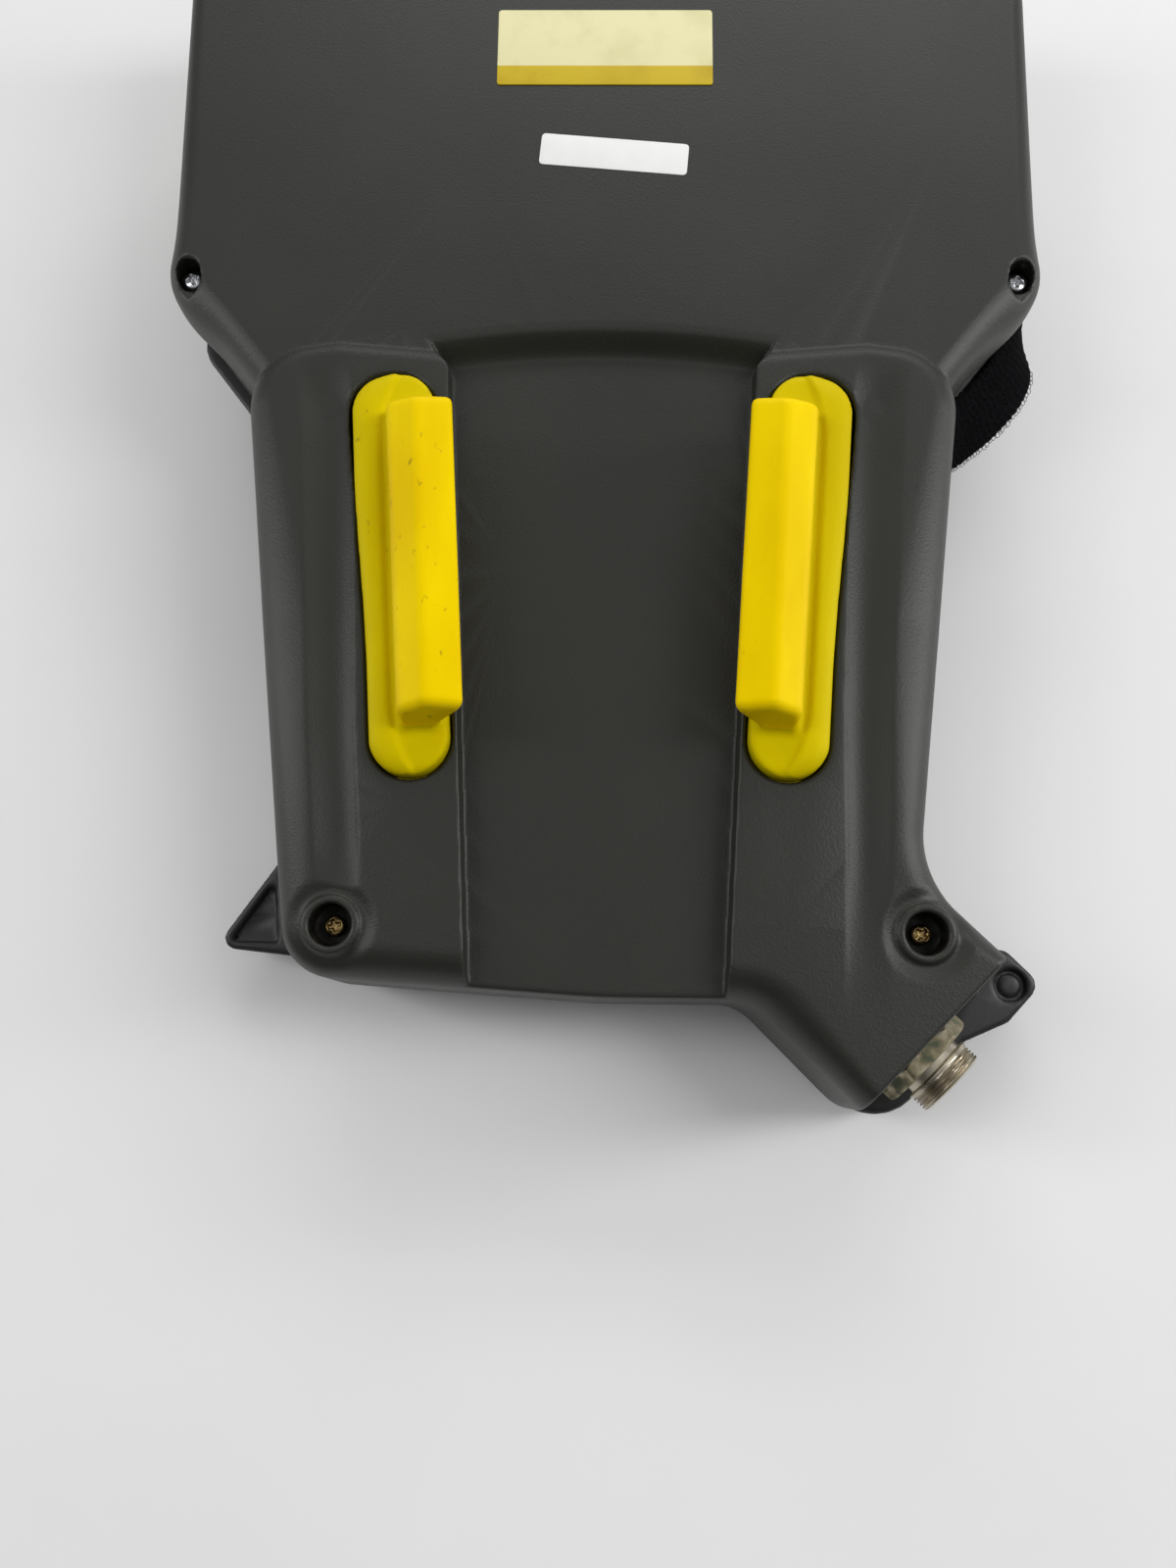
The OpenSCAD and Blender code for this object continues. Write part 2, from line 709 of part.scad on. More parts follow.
module downward(z) {
    translate([0, 0, z]) mirror([0, 0, 1]) children();
}

module front_cover() {
    depth = z_rim - z_face;
    tall = wall + 4;
    color([0.2, 0.2, 0.2]) place() difference() {
        union() {
            downward(z_rim) loft(wall_rings(front_head_line, 0, depth, front_edge, 0.6, 0));
            downward(z_rim) loft(wall_rings(front_body_line, 0, depth, front_edge, 0.6, 0));
            translate([0, 0, ear_z]) linear_extrude(ear_t) {
                rounded(2.4) polygon(ear_left);
                rounded(4.5) polygon(ear_right);
                outlet_guard();
            }
        }
        difference() {
            translate([0, 0, z_inside]) linear_extrude(front_d) {
                polygon(flat(head_line, wall));
                polygon(flat(body_line, wall));
            }
            at_places(concat(corner_places, boss_places), 0) cylinder(h = z_rim, d = column_d);
            at_places(frame_places, 0) cylinder(h = z_inside + panel_t + 0.4, d = 7);
            at_strap_screw(1) mirror([0, 0, 1]) cylinder(h = strap_boss_l, d = strap_boss_d);
        }
        at_places(concat(corner_places, boss_places), z_inside) cylinder(h = front_d, d = pilot_d);
        at_places(frame_places, z_inside + 1) cylinder(h = front_d, d = pilot_d);
        at_strap_screw(1) mirror([0, 0, 1]) cylinder(h = strap_boss_l - 1, d = pilot_d);
        translate(concat(window_at, z_face)) pocket([window_w, window_l], window_t + 0.2, 3, 4);
        translate(concat(keys_at, z_face)) pocket([keys_w, keys_l], keys_t, key_margin, 4);
        translate(concat(row_at, z_face)) pocket([row_w, row_l], keys_t, row_margin, 2);
        translate(concat(estop_at, z_face - 1)) cylinder(h = tall, d = estop_hole);
        translate(concat(selector_at, z_face - 1)) cylinder(h = tall, d = selector_hole + gap);
        translate([0, 0, ear_z + ear_t - 1.6]) linear_extrude(3) polygon(ear_left_recess);
        translate(concat(ear_right_recess, ear_z + ear_t - 2)) cylinder(h = 3, d = ear_right_recess_d);
    }
}

// Recess in the front face for a sheet, with the opening behind it
module pocket(size, depth, margin, r) {
    translate([0, 0, -1]) linear_extrude(depth + 1) plate(size + [2, 2] * seat, r);
    translate([0, 0, -1]) linear_extrude(wall + 2) plate(size - [2, 2] * margin, r - 1);
}

module plate(size, r) {
    offset(r, $fn = 32) square(size - [2, 2] * r, center = true);
}

frame_places = [for (x = [-1, 1], y = [-1, 1]) window_at + [x * (window_w / 2 + 8), y * (window_l / 2 + 4)]];

module housing_gasket() {
    color([0.05, 0.05, 0.05]) place() translate([0, 0, z_rim]) linear_extrude(gasket_t) difference() {
        union() {
            polygon(flat(head_line, 0.7));
            polygon(flat(body_line, 0.7));
        }
        union() {
            polygon(flat(head_line, wall - 0.2));
            polygon(flat(body_line, wall - 0.2));
        }
        for (p = concat(corner_places, boss_places)) translate(p) circle((screw_d + 0.6) / 2);
    }
}

module corner_screws() {
    color("silver") place()
        at_places(corner_places, corner_seat) screw(thread_core_d, corner_seat - z_inside - 2);
}

module boss_screws() {
    color("goldenrod") place()
        at_places(boss_places, boss_seat) screw(thread_core_d, boss_seat - z_inside - 2);
}

// ---- Display and keys ----

module display_window() {
    color([0.12, 0.14, 0.16]) place() translate(concat(window_at, z_face + 0.2))
        linear_extrude(window_t) plate([window_w, window_l] - [2, 2] * seat, 4);
}

module display_panel() {
    color([0.55, 0.57, 0.6]) place() translate(concat(window_at, z_inside + 0.1)) {
        difference() {
            linear_extrude(panel_t) plate([window_w + 8, window_l + 6], 1.5);
            translate([0, 0, -1]) linear_extrude(1.4) plate([window_w - 7, window_l - 7], 1);
        }
    }
}

// Sheet frame behind the panel, with the stand-offs of the main board and the tabs of the inverter
module display_frame() {
    tab = [10, 16];
    standoff_d = 6;
    color("silver") place() difference() {
        union() {
            translate(concat(window_at, frame_z)) linear_extrude(frame_t) difference() {
                plate([window_w + 22, window_l + 15], 3);
                plate([window_w - 26, window_l - 30], 3);
            }
            at_places(board_places, frame_z + 1) cylinder(h = main_board_z - frame_z - 1, d = standoff_d);
            at_places(inverter_places, frame_z) {
                translate([-tab.x / 2, -tab.x / 2, 0]) cube([tab.x, tab.y, frame_t]);
                cylinder(h = inverter_z - frame_z, d = standoff_d);
            }
        }
        at_places(board_places, frame_z + 4) cylinder(h = rear_d, d = pilot_d);
        at_places(inverter_places, frame_z - 1) cylinder(h = rear_d, d = pilot_d);
        at_places(frame_places, frame_z - 1) cylinder(h = 4, d = screw_d + 0.4);
    }
}

board_places = [for (x = [-1, 1], y = [-1, 1])
    main_board_at + [x * post_pitch.x / 2, y * post_pitch.y / 2]];
inverter_places = [for (x = [-1, 1]) inverter_at + [x * (inverter_size.x / 2 - 6), 0]];

module display_screws() {
    color("silver") place() at_places(frame_places, frame_z + frame_t) screw(thread_core_d, 6);
}

module main_board() {
    chips = [[-38, 18, 24], [4, 20, 28], [44, 24, 18], [-30, -22, 16], [8, -24, 20]];
    color([0.05, 0.32, 0.18]) place() translate(concat(main_board_at, main_board_z)) {
        difference() {
            linear_extrude(board_t) square(main_board_size, center = true);
            for (p = board_places)
                translate(concat(p - main_board_at, -1)) cylinder(h = 4, d = screw_d + 0.4);
        }
        for (c = chips) translate([c[0] - c[2] / 2, c[1] - c[2] / 2, board_t]) cube([c[2], c[2], 2.4]);
        for (i = [-2 : 2]) translate([58, i * 16, board_t]) cube([7, 12, 8]);
        for (i = [-2 : 2]) translate([-62, i * 14 + 4, board_t]) cylinder(h = 9, d = 8);
    }
}

module board_screws() {
    color("silver") place() {
        at_places(board_places, main_board_z + board_t) screw(thread_core_d, 7);
        at_places(inverter_places, inverter_z + board_t) screw(thread_core_d, 5);
    }
}

// Long narrow board with two transformers
module backlight_inverter() {
    transformer = [20, 14, 8];
    color([0.1, 0.36, 0.2]) place() {
        difference() {
            translate(concat(inverter_at, inverter_z))
                linear_extrude(board_t) square(inverter_size, center = true);
            at_places(inverter_places, inverter_z - 1) cylinder(h = board_t + 2, d = screw_d + 0.4);
        }
        for (x = [-30, 18])
            translate(concat(inverter_at + [x, 0] - [transformer.x, transformer.y] / 2, inverter_z + board_t))
                cube(transformer);
    }
}

module display_cable() {
    y0 = window_at.y + window_l / 2 - 34;
    z0 = frame_z - 0.25;
    color([0.85, 0.82, 0.7]) place() translate([window_w / 2 - 40, y0, z0]) rotate([90, 0, 90])
        linear_extrude(22) difference() {
            square([16, main_board_z - z0 - 0.1]);
            translate([-1, 0.4]) square([16.6, main_board_z - z0 - 0.9]);
        }
}

module key_rows_at(cols, rows, size, key) {
    pitch = [size.x / cols, size.y / rows];
    for (i = [0 : cols - 1], j = [0 : rows - 1])
        translate([(i - (cols - 1) / 2) * pitch.x, (j - (rows - 1) / 2) * pitch.y, 0])
            linear_extrude(key_h + 0.4) offset(1.5, $fn = 16) square(key - [3, 3], center = true);
}

module key_sheet() {
    color([0.3, 0.31, 0.33]) place() translate(concat(keys_at, z_face)) {
        linear_extrude(keys_t) plate([keys_w, keys_l], 4);
        translate([0, 0, -key_h]) key_rows_at(key_columns, key_rows, [keys_w, keys_l] - [14, 14], [12.6, 11]);
    }
}

module function_key_sheet() {
    color([0.3, 0.31, 0.33]) place() translate(concat(row_at, z_face)) {
        linear_extrude(keys_t) plate([row_w, row_l], 2);
        translate([0, 0, -key_h]) key_rows_at(row_keys, 1, [row_w, row_l] - [8, 4], [15, 7.6]);
    }
}

module key_board() {
    size = [keys_w, keys_l] - [2, 2] * (key_margin + gap);
    color([0.05, 0.3, 0.17]) place() translate(concat(keys_at, z_face + keys_t + 0.6)) {
        linear_extrude(board_t) plate(size, 3);
        translate([0, 0, board_t]) linear_extrude(1.2) plate(size + [8, 8], 3);
        translate([-20, -size.y / 2 + 4, board_t + 1.2]) cube([40, 6, 5]);
    }
}

module function_key_board() {
    size = [row_w, row_l] - [2, 2] * (row_margin + gap);
    color([0.05, 0.3, 0.17]) place() translate(concat(row_at, z_face + keys_t + 0.6)) {
        linear_extrude(board_t) plate(size, 1);
        translate([0, 0, board_t]) linear_extrude(1.2) plate(size + [6, 4], 1);
    }
}

module key_domes() {
    cols = key_columns;
    pitch = [(keys_w - 14) / cols, (keys_l - 14) / key_rows];
    color("silver") place() translate(concat(keys_at, z_face + keys_t + 0.1))
        for (i = [0 : cols - 1], j = [0 : key_rows - 1])
            translate([(i - (cols - 1) / 2) * pitch.x, (j - (key_rows - 1) / 2) * pitch.y, 0])
                cylinder(h = 0.5, d = 6, $fn = 24);
}

// ---- Cable connector ----

// The connector's axis is the local Z axis, with zero at the inner side of the outlet's tilted end wall

module at_connector() {
    translate(concat(along(end_face, connector_mid), z_part + connector_h))
        rotate([0, 90 - connector_tilt, -45]) translate([0, 0, -wall]) children();
}

module tube(h, d, bore) {
    difference() {
        cylinder(h = h, d = d);
        translate([0, 0, -1]) cylinder(h = h + 2, d = bore);
    }
}

socket_bore = connector_d - 4;
flange_t = 3;
neck_gap = 2;                           // plain neck between the nut and the thread
connector_end = wall + nut_t + thread_l;

module connector_shell() {
    color([0.62, 0.6, 0.5]) place() at_connector() difference() {
        union() {
            translate([0, 0, -gasket_t - flange_t]) cylinder(h = flange_t, d = connector_d + 6);
            translate([0, 0, -gasket_t - flange_t - 4]) cylinder(h = 4.5, d = connector_d - 1);
            translate([0, 0, -gasket_t - 0.5]) cylinder(h = wall + nut_t + gasket_t + 0.5, d = connector_d);
            translate([0, 0, wall]) cylinder(h = connector_end - wall, d = connector_d - 1.6);
            translate([0, 0, wall + nut_t + neck_gap]) cylinder(h = thread_l - neck_gap, d = connector_d);
        }
        translate([0, 0, -10]) cylinder(h = 40, d = socket_bore);
    }
}

module connector_nut() {
    color([0.6, 0.56, 0.45]) place() at_connector() translate([0, 0, wall]) difference() {
        rotate(30) cylinder(h = nut_t, d = nut_af / cos(30), $fn = 6);
        translate([0, 0, -1]) cylinder(h = nut_t + 2, d = connector_d);
    }
}

module connector_gasket() {
    color([0.05, 0.05, 0.05]) place() at_connector()
        translate([0, 0, -gasket_t]) tube(gasket_t, connector_d + 5, connector_d);
}

module connector_insert() {
    color([0.15, 0.15, 0.15]) place() at_connector() difference() {
        translate([0, 0, -gasket_t - flange_t - 4]) cylinder(h = flange_t + gasket_t + 6, d = socket_bore);
        for (p = pin_places) translate([p.x, p.y, -10]) cylinder(h = 20, d = pin_d, $fn = 16);
    }
}

pin_d = 1.4;
pin_places = concat([[0, 0]], [for (i = [0 : 5]) 2.6 * [cos(60 * i), sin(60 * i)]],
    [for (i = [0 : 11]) 5.4 * [cos(30 * i), sin(30 * i)]]);

module connector_pins() {
    color("gold") place() at_connector() for (p = pin_places)
        translate([p.x, p.y, -gasket_t - flange_t - 7])
            cylinder(h = flange_t + gasket_t + 13, d = pin_d, $fn = 16);
}

// ---- Emergency stop, standing on the front face with its button towards -Z ----

module at_estop(z) {
    translate(concat(estop_at, z)) children();
}

module estop_button() {
    color([0.8, 0.08, 0.06]) place() at_estop(0) difference() {
        rotate_extrude($fn = 72) polygon([
            [0, 0], [estop_d * 0.36, 0], [estop_d * 0.45, 0.9], [estop_d * 0.49, 2.6],
            [estop_d / 2, 5], [estop_d / 2, 8.5], [estop_d * 0.47, mushroom_t - 1],
            [estop_d * 0.4, mushroom_t], [sleeve_d / 2, mushroom_t],
            [sleeve_d / 2, z_face - 1 - estop_travel], [0, z_face - 1 - estop_travel]
        ]);
        translate([0, 0, mushroom_t - 4]) cylinder(h = 30, d = plunger_d + gap);
    }
}

module estop_collar() {
    color([0.9, 0.75, 0.05]) place() at_estop(z_face - collar_t) difference() {
        cylinder(h = collar_t, d1 = collar_d - 5, d2 = collar_d);
        translate([0, 0, -1]) cylinder(h = collar_t + 2, d = sleeve_d + 2 * gap);
    }
}

module estop_barrel() {
    color([0.12, 0.12, 0.12]) place() at_estop(z_face) difference() {
        cylinder(h = barrel_in, d = estop_hole - gap);
        translate([0, 0, -1]) cylinder(h = 5, d = sleeve_d + 2 * gap);
        translate([0, 0, 3]) cylinder(h = barrel_in, d = plunger_d + 2 * gap);
        translate([0, 0, 8]) cylinder(h = barrel_in, d = estop_spring_d + 1);
    }
}

module estop_gasket() {
    color([0.05, 0.05, 0.05]) place() at_estop(z_face + wall)
        tube(1, estop_hole + 6, estop_hole - gap + 0.1);
}

module estop_nut() {
    color([0.2, 0.2, 0.2]) place() at_estop(z_face + wall + 1) difference() {
        cylinder(h = panel_nut_t, d = estop_hole + 8);
        translate([0, 0, -1]) cylinder(h = panel_nut_t + 2, d = estop_hole - gap);
        for (i = [0 : 7]) rotate(45 * i)
            translate([estop_hole / 2 + 3, -1.5, -1]) cube([3, 3, panel_nut_t + 2]);
    }
}

module estop_plunger() {
    z_flange = z_face + 9;
    color([0.75, 0.75, 0.72]) place() {
        at_estop(mushroom_t - 3.8) cylinder(h = z_face + barrel_in + 2 - mushroom_t, d = plunger_d);
        at_estop(z_flange) cylinder(h = 1.6, d = estop_spring_d + 0.4);
    }
}

module estop_spring() {
    z0 = z_face + 10.65;
    color("silver") place() at_estop(z0)
        coil(estop_spring_d - 0.6, 1.2, z_face + barrel_in - z0 - 0.05, 3);
}

module estop_contact_block() {
    z0 = z_face + barrel_in;
    color([0.16, 0.2, 0.2]) place() at_estop(z0) difference() {
        translate([-block_size[0] / 2, -block_size[1] / 2, 0]) cube(block_size);
        translate([0, 0, -1]) cylinder(h = 4 + estop_travel, d = plunger_d + 2 * gap);
        for (x = [-9, 9], y = [-1, 1]) translate([x, y * block_size[1] / 2, block_size[2] - 5])
            rotate([90, 0, 0]) cylinder(h = 8, d = 4, center = true);
    }
}

// ---- Selector switch ----

module at_selector(z) {
    translate(concat(selector_at, z)) children();
}

module selector_bezel() {
    color([0.1, 0.1, 0.1]) place()
        at_selector(z_face - bezel_t) tube(bezel_t, selector_d + 7, selector_hole - 4);
}

module selector_knob() {
    z0 = z_face - selector_h;
    color([0.15, 0.15, 0.15]) place() at_selector(z0) difference() {
        cylinder(h = selector_h - bezel_t - gap, d = selector_d);
        for (side = [-1, 1]) translate([-selector_d, side * selector_d * 0.58 - selector_d / 4, -1])
            cube([2 * selector_d, selector_d / 2, selector_h - 6]);
        translate([-0.6, selector_d * 0.1, -1]) cube([1.2, selector_d, 1.6]);
        translate([0, 0, selector_h - 8]) cylinder(h = 20, d = 6);
    }
}

module selector_shaft() {
    color("silver") place() at_selector(z_face - 8) cylinder(h = 8 + selector_in, d = 6);
}

module selector_body() {
    color([0.14, 0.14, 0.14]) place() at_selector(z_face) difference() {
        union() {
            cylinder(h = selector_in, d = selector_hole);
            translate([-11, -11, selector_in - 2]) cube([22, 22, 14]);
        }
        translate([0, 0, -1]) cylinder(h = selector_in + 4, d = 6 + 2 * gap);
    }
}

module selector_nut() {
    color("silver") place() at_selector(z_face + wall + 0.1) difference() {
        cylinder(h = 3, d = selector_hole + 6, $fn = 6);
        translate([0, 0, -1]) cylinder(h = 5, d = selector_hole);
    }
}

// ---- Hand strap ----

function strap_ring(i) =
    let (
        last = len(strap_path) - 1,
        p = strap_path[i],
        a = strap_path[max(i - 1, 0)],
        b = strap_path[min(i + 1, last)],
        along_strap = unit([b.x - a.x, b.y - a.y]),
        out = [-along_strap.y, along_strap.x, 0],
        face = out * cos(p[3]) + [0, 0, sin(p[3])],
        up = [0, 0, cos(p[3])] - out * sin(p[3]),
        at = [p.x, p.y, p.z]
    )
    [for (c = [[-1, -1], [1, -1], [1, 1], [-1, 1]])
        at + face * c[0] * strap_t / 2 + up * c[1] * strap_w / 2];

// The strap's upper screw is number 0 and its lower one number 1; local Z points out of the wall
module at_strap_screw(i) {
    low = strap_path[len(strap_path) - 2];
    high = strap_path[1];
    if (i == 0) translate([side_x(high.y), high.y, high.z]) rotate([0, 90, -side_tilt]) children();
    else translate([grip_x(low.y), low.y, low.z]) rotate([0, 90, -grip_tilt]) children();
}

module hand_strap() {
    color([0.07, 0.07, 0.08]) place() difference() {
        loft([for (i = [0 : len(strap_path) - 1]) strap_ring(i)]);
        for (i = [0, 1]) at_strap_screw(i) cylinder(h = 12, d = screw_d + 1.4, center = true);
    }
}

module strap_washers() {
    color([0.1, 0.1, 0.1]) place() for (i = [0, 1]) at_strap_screw(i) translate([0, 0, strap_t + 2 * gap])
        tube(washer_t, washer_d, screw_d + 0.3);
}

module strap_screws() {
    under_head = strap_t + 2 * gap + washer_t;
    color("silver") place() for (i = [0, 1])
        at_strap_screw(i) translate([0, 0, under_head]) screw(thread_core_d, under_head + 6);
}

// ---- Levers on both sides ----

module on_side(side) {
    place() mirror([side < 0 ? 1 : 0, 0, 0]) at_lever() children();
}

module lever_left() { on_side(-1) lever(); }
module lever_right() { on_side(1) lever(); }
module lever_stem_left() { color("ivory") on_side(-1) lever_stem(); }
module lever_stem_right() { color("ivory") on_side(1) lever_stem(); }
module lever_springs_left() { color("silver") on_side(-1) lever_springs(); }
module lever_springs_right() { color("silver") on_side(1) lever_springs(); }
module lever_switch_left() { color([0.15, 0.15, 0.17]) on_side(-1) lever_switch(); }
module lever_switch_right() { color([0.15, 0.15, 0.17]) on_side(1) lever_switch(); }
module lever_tray_left() { color([0.7, 0.7, 0.72]) on_side(-1) tray(); }
module lever_tray_right() { color([0.7, 0.7, 0.72]) on_side(1) tray(); }
module tray_screws() { color("silver") for (side = [-1, 1]) on_side(side) lever_tray_screws(); }

rear_cover();
front_cover();
housing_gasket();
corner_screws();
boss_screws();
display_window();
display_panel();
display_frame();
display_screws();
display_cable();
main_board();
board_screws();
backlight_inverter();
key_sheet();
function_key_sheet();
key_board();
function_key_board();
key_domes();
connector_shell();
connector_nut();
connector_gasket();
connector_insert();
connector_pins();
estop_button();
estop_plunger();
estop_spring();
estop_collar();
estop_barrel();
estop_gasket();
estop_nut();
estop_contact_block();
selector_knob();
selector_shaft();
selector_bezel();
selector_body();
selector_nut();
lever_left();
lever_right();
lever_stem_left();
lever_stem_right();
lever_springs_left();
lever_springs_right();
lever_switch_left();
lever_switch_right();
lever_tray_left();
lever_tray_right();
tray_screws();
hand_strap();
strap_washers();
strap_screws();
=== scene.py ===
"""Looks of the teach pendant: moulded covers, yellow enabling levers, webbing strap, connector and controls.

Shapes are worked out in millimetres in the design frame, which has X = 0 on the housing's middle line,
Y = 0 at its foot and Z = 0 at the face of the emergency stop; put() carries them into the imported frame.
"""
import functools
import json
import math

import bmesh
import bpy
import numpy as np
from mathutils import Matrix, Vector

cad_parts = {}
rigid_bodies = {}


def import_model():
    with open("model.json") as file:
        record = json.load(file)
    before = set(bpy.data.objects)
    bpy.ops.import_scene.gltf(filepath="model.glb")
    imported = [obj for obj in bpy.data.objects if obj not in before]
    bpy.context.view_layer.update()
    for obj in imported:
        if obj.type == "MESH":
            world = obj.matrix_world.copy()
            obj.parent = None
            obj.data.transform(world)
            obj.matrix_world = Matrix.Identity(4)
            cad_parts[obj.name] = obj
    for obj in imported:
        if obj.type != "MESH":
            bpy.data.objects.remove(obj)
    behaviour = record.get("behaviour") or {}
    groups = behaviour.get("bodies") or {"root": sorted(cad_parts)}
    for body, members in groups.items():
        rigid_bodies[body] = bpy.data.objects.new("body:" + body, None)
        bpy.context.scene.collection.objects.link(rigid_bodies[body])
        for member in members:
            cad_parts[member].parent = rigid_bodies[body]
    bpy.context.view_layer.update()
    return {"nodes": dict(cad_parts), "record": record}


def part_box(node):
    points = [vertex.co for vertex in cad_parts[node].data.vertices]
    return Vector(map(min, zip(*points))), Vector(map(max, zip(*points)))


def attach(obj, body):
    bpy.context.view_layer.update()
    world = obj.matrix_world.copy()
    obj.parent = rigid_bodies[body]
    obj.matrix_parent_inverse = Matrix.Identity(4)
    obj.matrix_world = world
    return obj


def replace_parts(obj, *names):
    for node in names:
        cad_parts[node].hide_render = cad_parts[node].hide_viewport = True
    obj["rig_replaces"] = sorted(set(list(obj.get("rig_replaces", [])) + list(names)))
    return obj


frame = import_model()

import openvdb
from mathutils import Vector

MM = 0.001


# ---- Places taken from the frame, in millimetres ----

def low(node):
    return np.array(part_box(node)[0]) / MM


def high(node):
    return np.array(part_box(node)[1]) / MM


def middle(node):
    return (low(node) + high(node)) / 2


HOUSING_L = 345  # foot line to the top edge
ORIGIN = np.array([middle("corner_screws")[0], high("rear_cover")[1] - HOUSING_L, 0])
Z_FACE = high("estop_collar")[2]  # front face
Z_PART = low("rear_cover")[2]  # parting line
Z_RIM = low("housing_gasket")[2]  # edge of the front cover
REAR_D = 38
Z_BACK = Z_PART + REAR_D
Z_GRIP = Z_BACK + 1.5
Z_CHANNEL = Z_BACK - 6
WALL = 3
DRAFT = 1.5
EDGE_RISE = 12


def put(points):
    """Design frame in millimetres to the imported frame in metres."""
    return (np.asarray(points, float) + ORIGIN) * MM


def home(node):
    """Middle of a CAD node in the design frame."""
    return middle(node) - ORIGIN


# ---- Solids from signed distances ----

class Field:
    """A block of space, as open grids of coordinates that broadcast against each other."""

    def __init__(self, lo, hi, step):
        self.lo, self.step = np.array(lo, float), step * 1
        counts = np.ceil((np.array(hi) - lo) / self.step).astype(int) + 1
        axes = [(self.lo[i] + self.step * np.arange(counts[i])).astype(np.float32) for i in range(3)]
        self.x, self.y, self.z = np.meshgrid(*axes, indexing="ij", sparse=True)
        self.shape = tuple(counts)


def union(a, b, k=0.0):
    if not k:
        return np.minimum(a, b)
    h = np.maximum(k - np.abs(a - b), 0) / k
    return np.minimum(a, b) - h * h * k / 4


def both(a, b, k=0.0):
    return -union(-a, -b, k)


def minus(a, b, k=0.0):
    return both(a, -b, k)


def step01(a, b, x):
    """Smooth step from 0 at a to 1 at b."""
    t = np.clip((x - a) / (b - a), 0, 1)
    return t * t * (3 - 2 * t)


def box(f, centre, half, r):
    """Rounded box."""
    q = [np.abs(c - m) - (h - r) for c, m, h in zip((f.x, f.y, f.z), centre, half)]
    out = np.sqrt(sum(np.maximum(v, 0) ** 2 for v in q))
    return out + np.minimum(np.maximum(np.maximum(q[0], q[1]), q[2]), 0) - r


def rod(f, at, r, z0, z1, k=0.0):
    """Upright cylinder."""
    side = np.hypot(f.x - at[0], f.y - at[1]) - r
    return both(side, np.abs(f.z - (z0 + z1) / 2) - (z1 - z0) / 2, k)


def rods(f, places, r, z0, z1):
    return functools.reduce(np.minimum, [rod(f, at, r, z0, z1) for at in places])


class Outline:
    """Closed line with rounded corners; a corner is (x, y, radius, width of the edge rounding)."""

    def __init__(self, corners, arc_n=12):
        points, widths = [], []
        for i, (x, y, r, width) in enumerate(corners):
            at = np.array([x, y], float)
            u = np.array(corners[i - 1][:2]) - at
            v = np.array(corners[(i + 1) % len(corners)][:2]) - at
            u, v = u / np.linalg.norm(u), v / np.linalg.norm(v)
            half = math.acos(float(u @ v)) / 2
            turn = np.sign(v[0] * u[1] - v[1] * u[0])
            centre = at + (u + v) / np.linalg.norm(u + v) * r / math.sin(half)
            start = at + u * r / math.tan(half) - centre
            for k in range(arc_n + 1):
                a = turn * (math.pi - 2 * half) * k / arc_n
                c, s = math.cos(a), math.sin(a)
                points.append(centre + [start[0] * c - start[1] * s, start[0] * s + start[1] * c])
                widths.append(width)
        self.points, self.widths = np.array(points), np.array(widths, float)

    def depth(self, f):
        """How far inside the line each column of the field lies, and the rounding width there."""
        x, y = f.x[:, :, 0], f.y[:, :, 0]
        best = np.full((f.shape[0], f.shape[1]), 1e9, np.float32)
        width = np.zeros_like(best)
        inside = np.zeros(best.shape, bool)
        for i in range(len(self.points)):
            p, q = self.points[i - 1], self.points[i]
            e = q - p
            t = np.clip(((x - p[0]) * e[0] + (y - p[1]) * e[1]) / (e @ e), 0, 1)
            d = np.hypot(x - p[0] - t * e[0], y - p[1] - t * e[1])
            nearer = d < best
            best = np.where(nearer, d, best)
            width = np.where(nearer, self.widths[i - 1] + t * (self.widths[i] - self.widths[i - 1]), width)
            if p[1] != q[1]:
                crossing = (y > min(p[1], q[1])) & (y <= max(p[1], q[1]))
                inside ^= crossing & (x < p[0] + (y - p[1]) * e[0] / e[1])
        return np.where(inside, best, -best)[:, :, None], width[:, :, None]


def rolled(depth, z, z0, z1, rise, width, lean):
    """Drafted wall on an outline that rolls over into a flat top along an ellipse."""
    u = (lean + width - depth) / width
    v = (z - (z1 - rise)) / rise
    side = (z - z0) / (z1 - rise - z0) * lean - depth
    un, vn = np.maximum(u, 0), np.maximum(v, 0)
    g = np.sqrt(un * un + vn * vn)
    slope = np.sqrt((un / width) ** 2 + (vn / rise) ** 2)
    corner = (g - 1) * np.maximum(g, 1e-3) / np.maximum(slope, 1e-3)
    flat = np.maximum(np.where(v > 0, -1e3, side), np.where(u > 0, -1e3, z - z1))
    shape = np.where((u > 0) & (v > 0), corner, flat)
    return np.maximum(shape, z0 - z)


def skin_of(f, field, keep):
    """Skin of a field as points and faces in the field's coordinates, thinned to keep triangles."""
    cut = np.clip(np.broadcast_to(field, f.shape), -3 * f.step, 3 * f.step).astype(np.float32)
    vdb = openvdb.FloatGrid(3 * f.step)
    vdb.copyFromArray(np.ascontiguousarray(cut))
    points, _, quads = vdb.convertToPolygons(0.0, 0.0)
    points, faces = points * f.step + f.lo, quads[:, ::-1]
    if keep < 2 * len(faces):
        obj = piece("thinned", [(points, faces, 0)])
        obj.modifiers.new("Decimate", "DECIMATE").ratio = keep / (2 * len(faces))
        mesh = bpy.data.meshes.new_from_object(obj.evaluated_get(bpy.context.evaluated_depsgraph_get()))
        points = np.array([v.co for v in mesh.vertices]) / MM - ORIGIN
        faces = [list(p.vertices) for p in mesh.polygons]
        bpy.data.objects.remove(obj)
    return points, faces


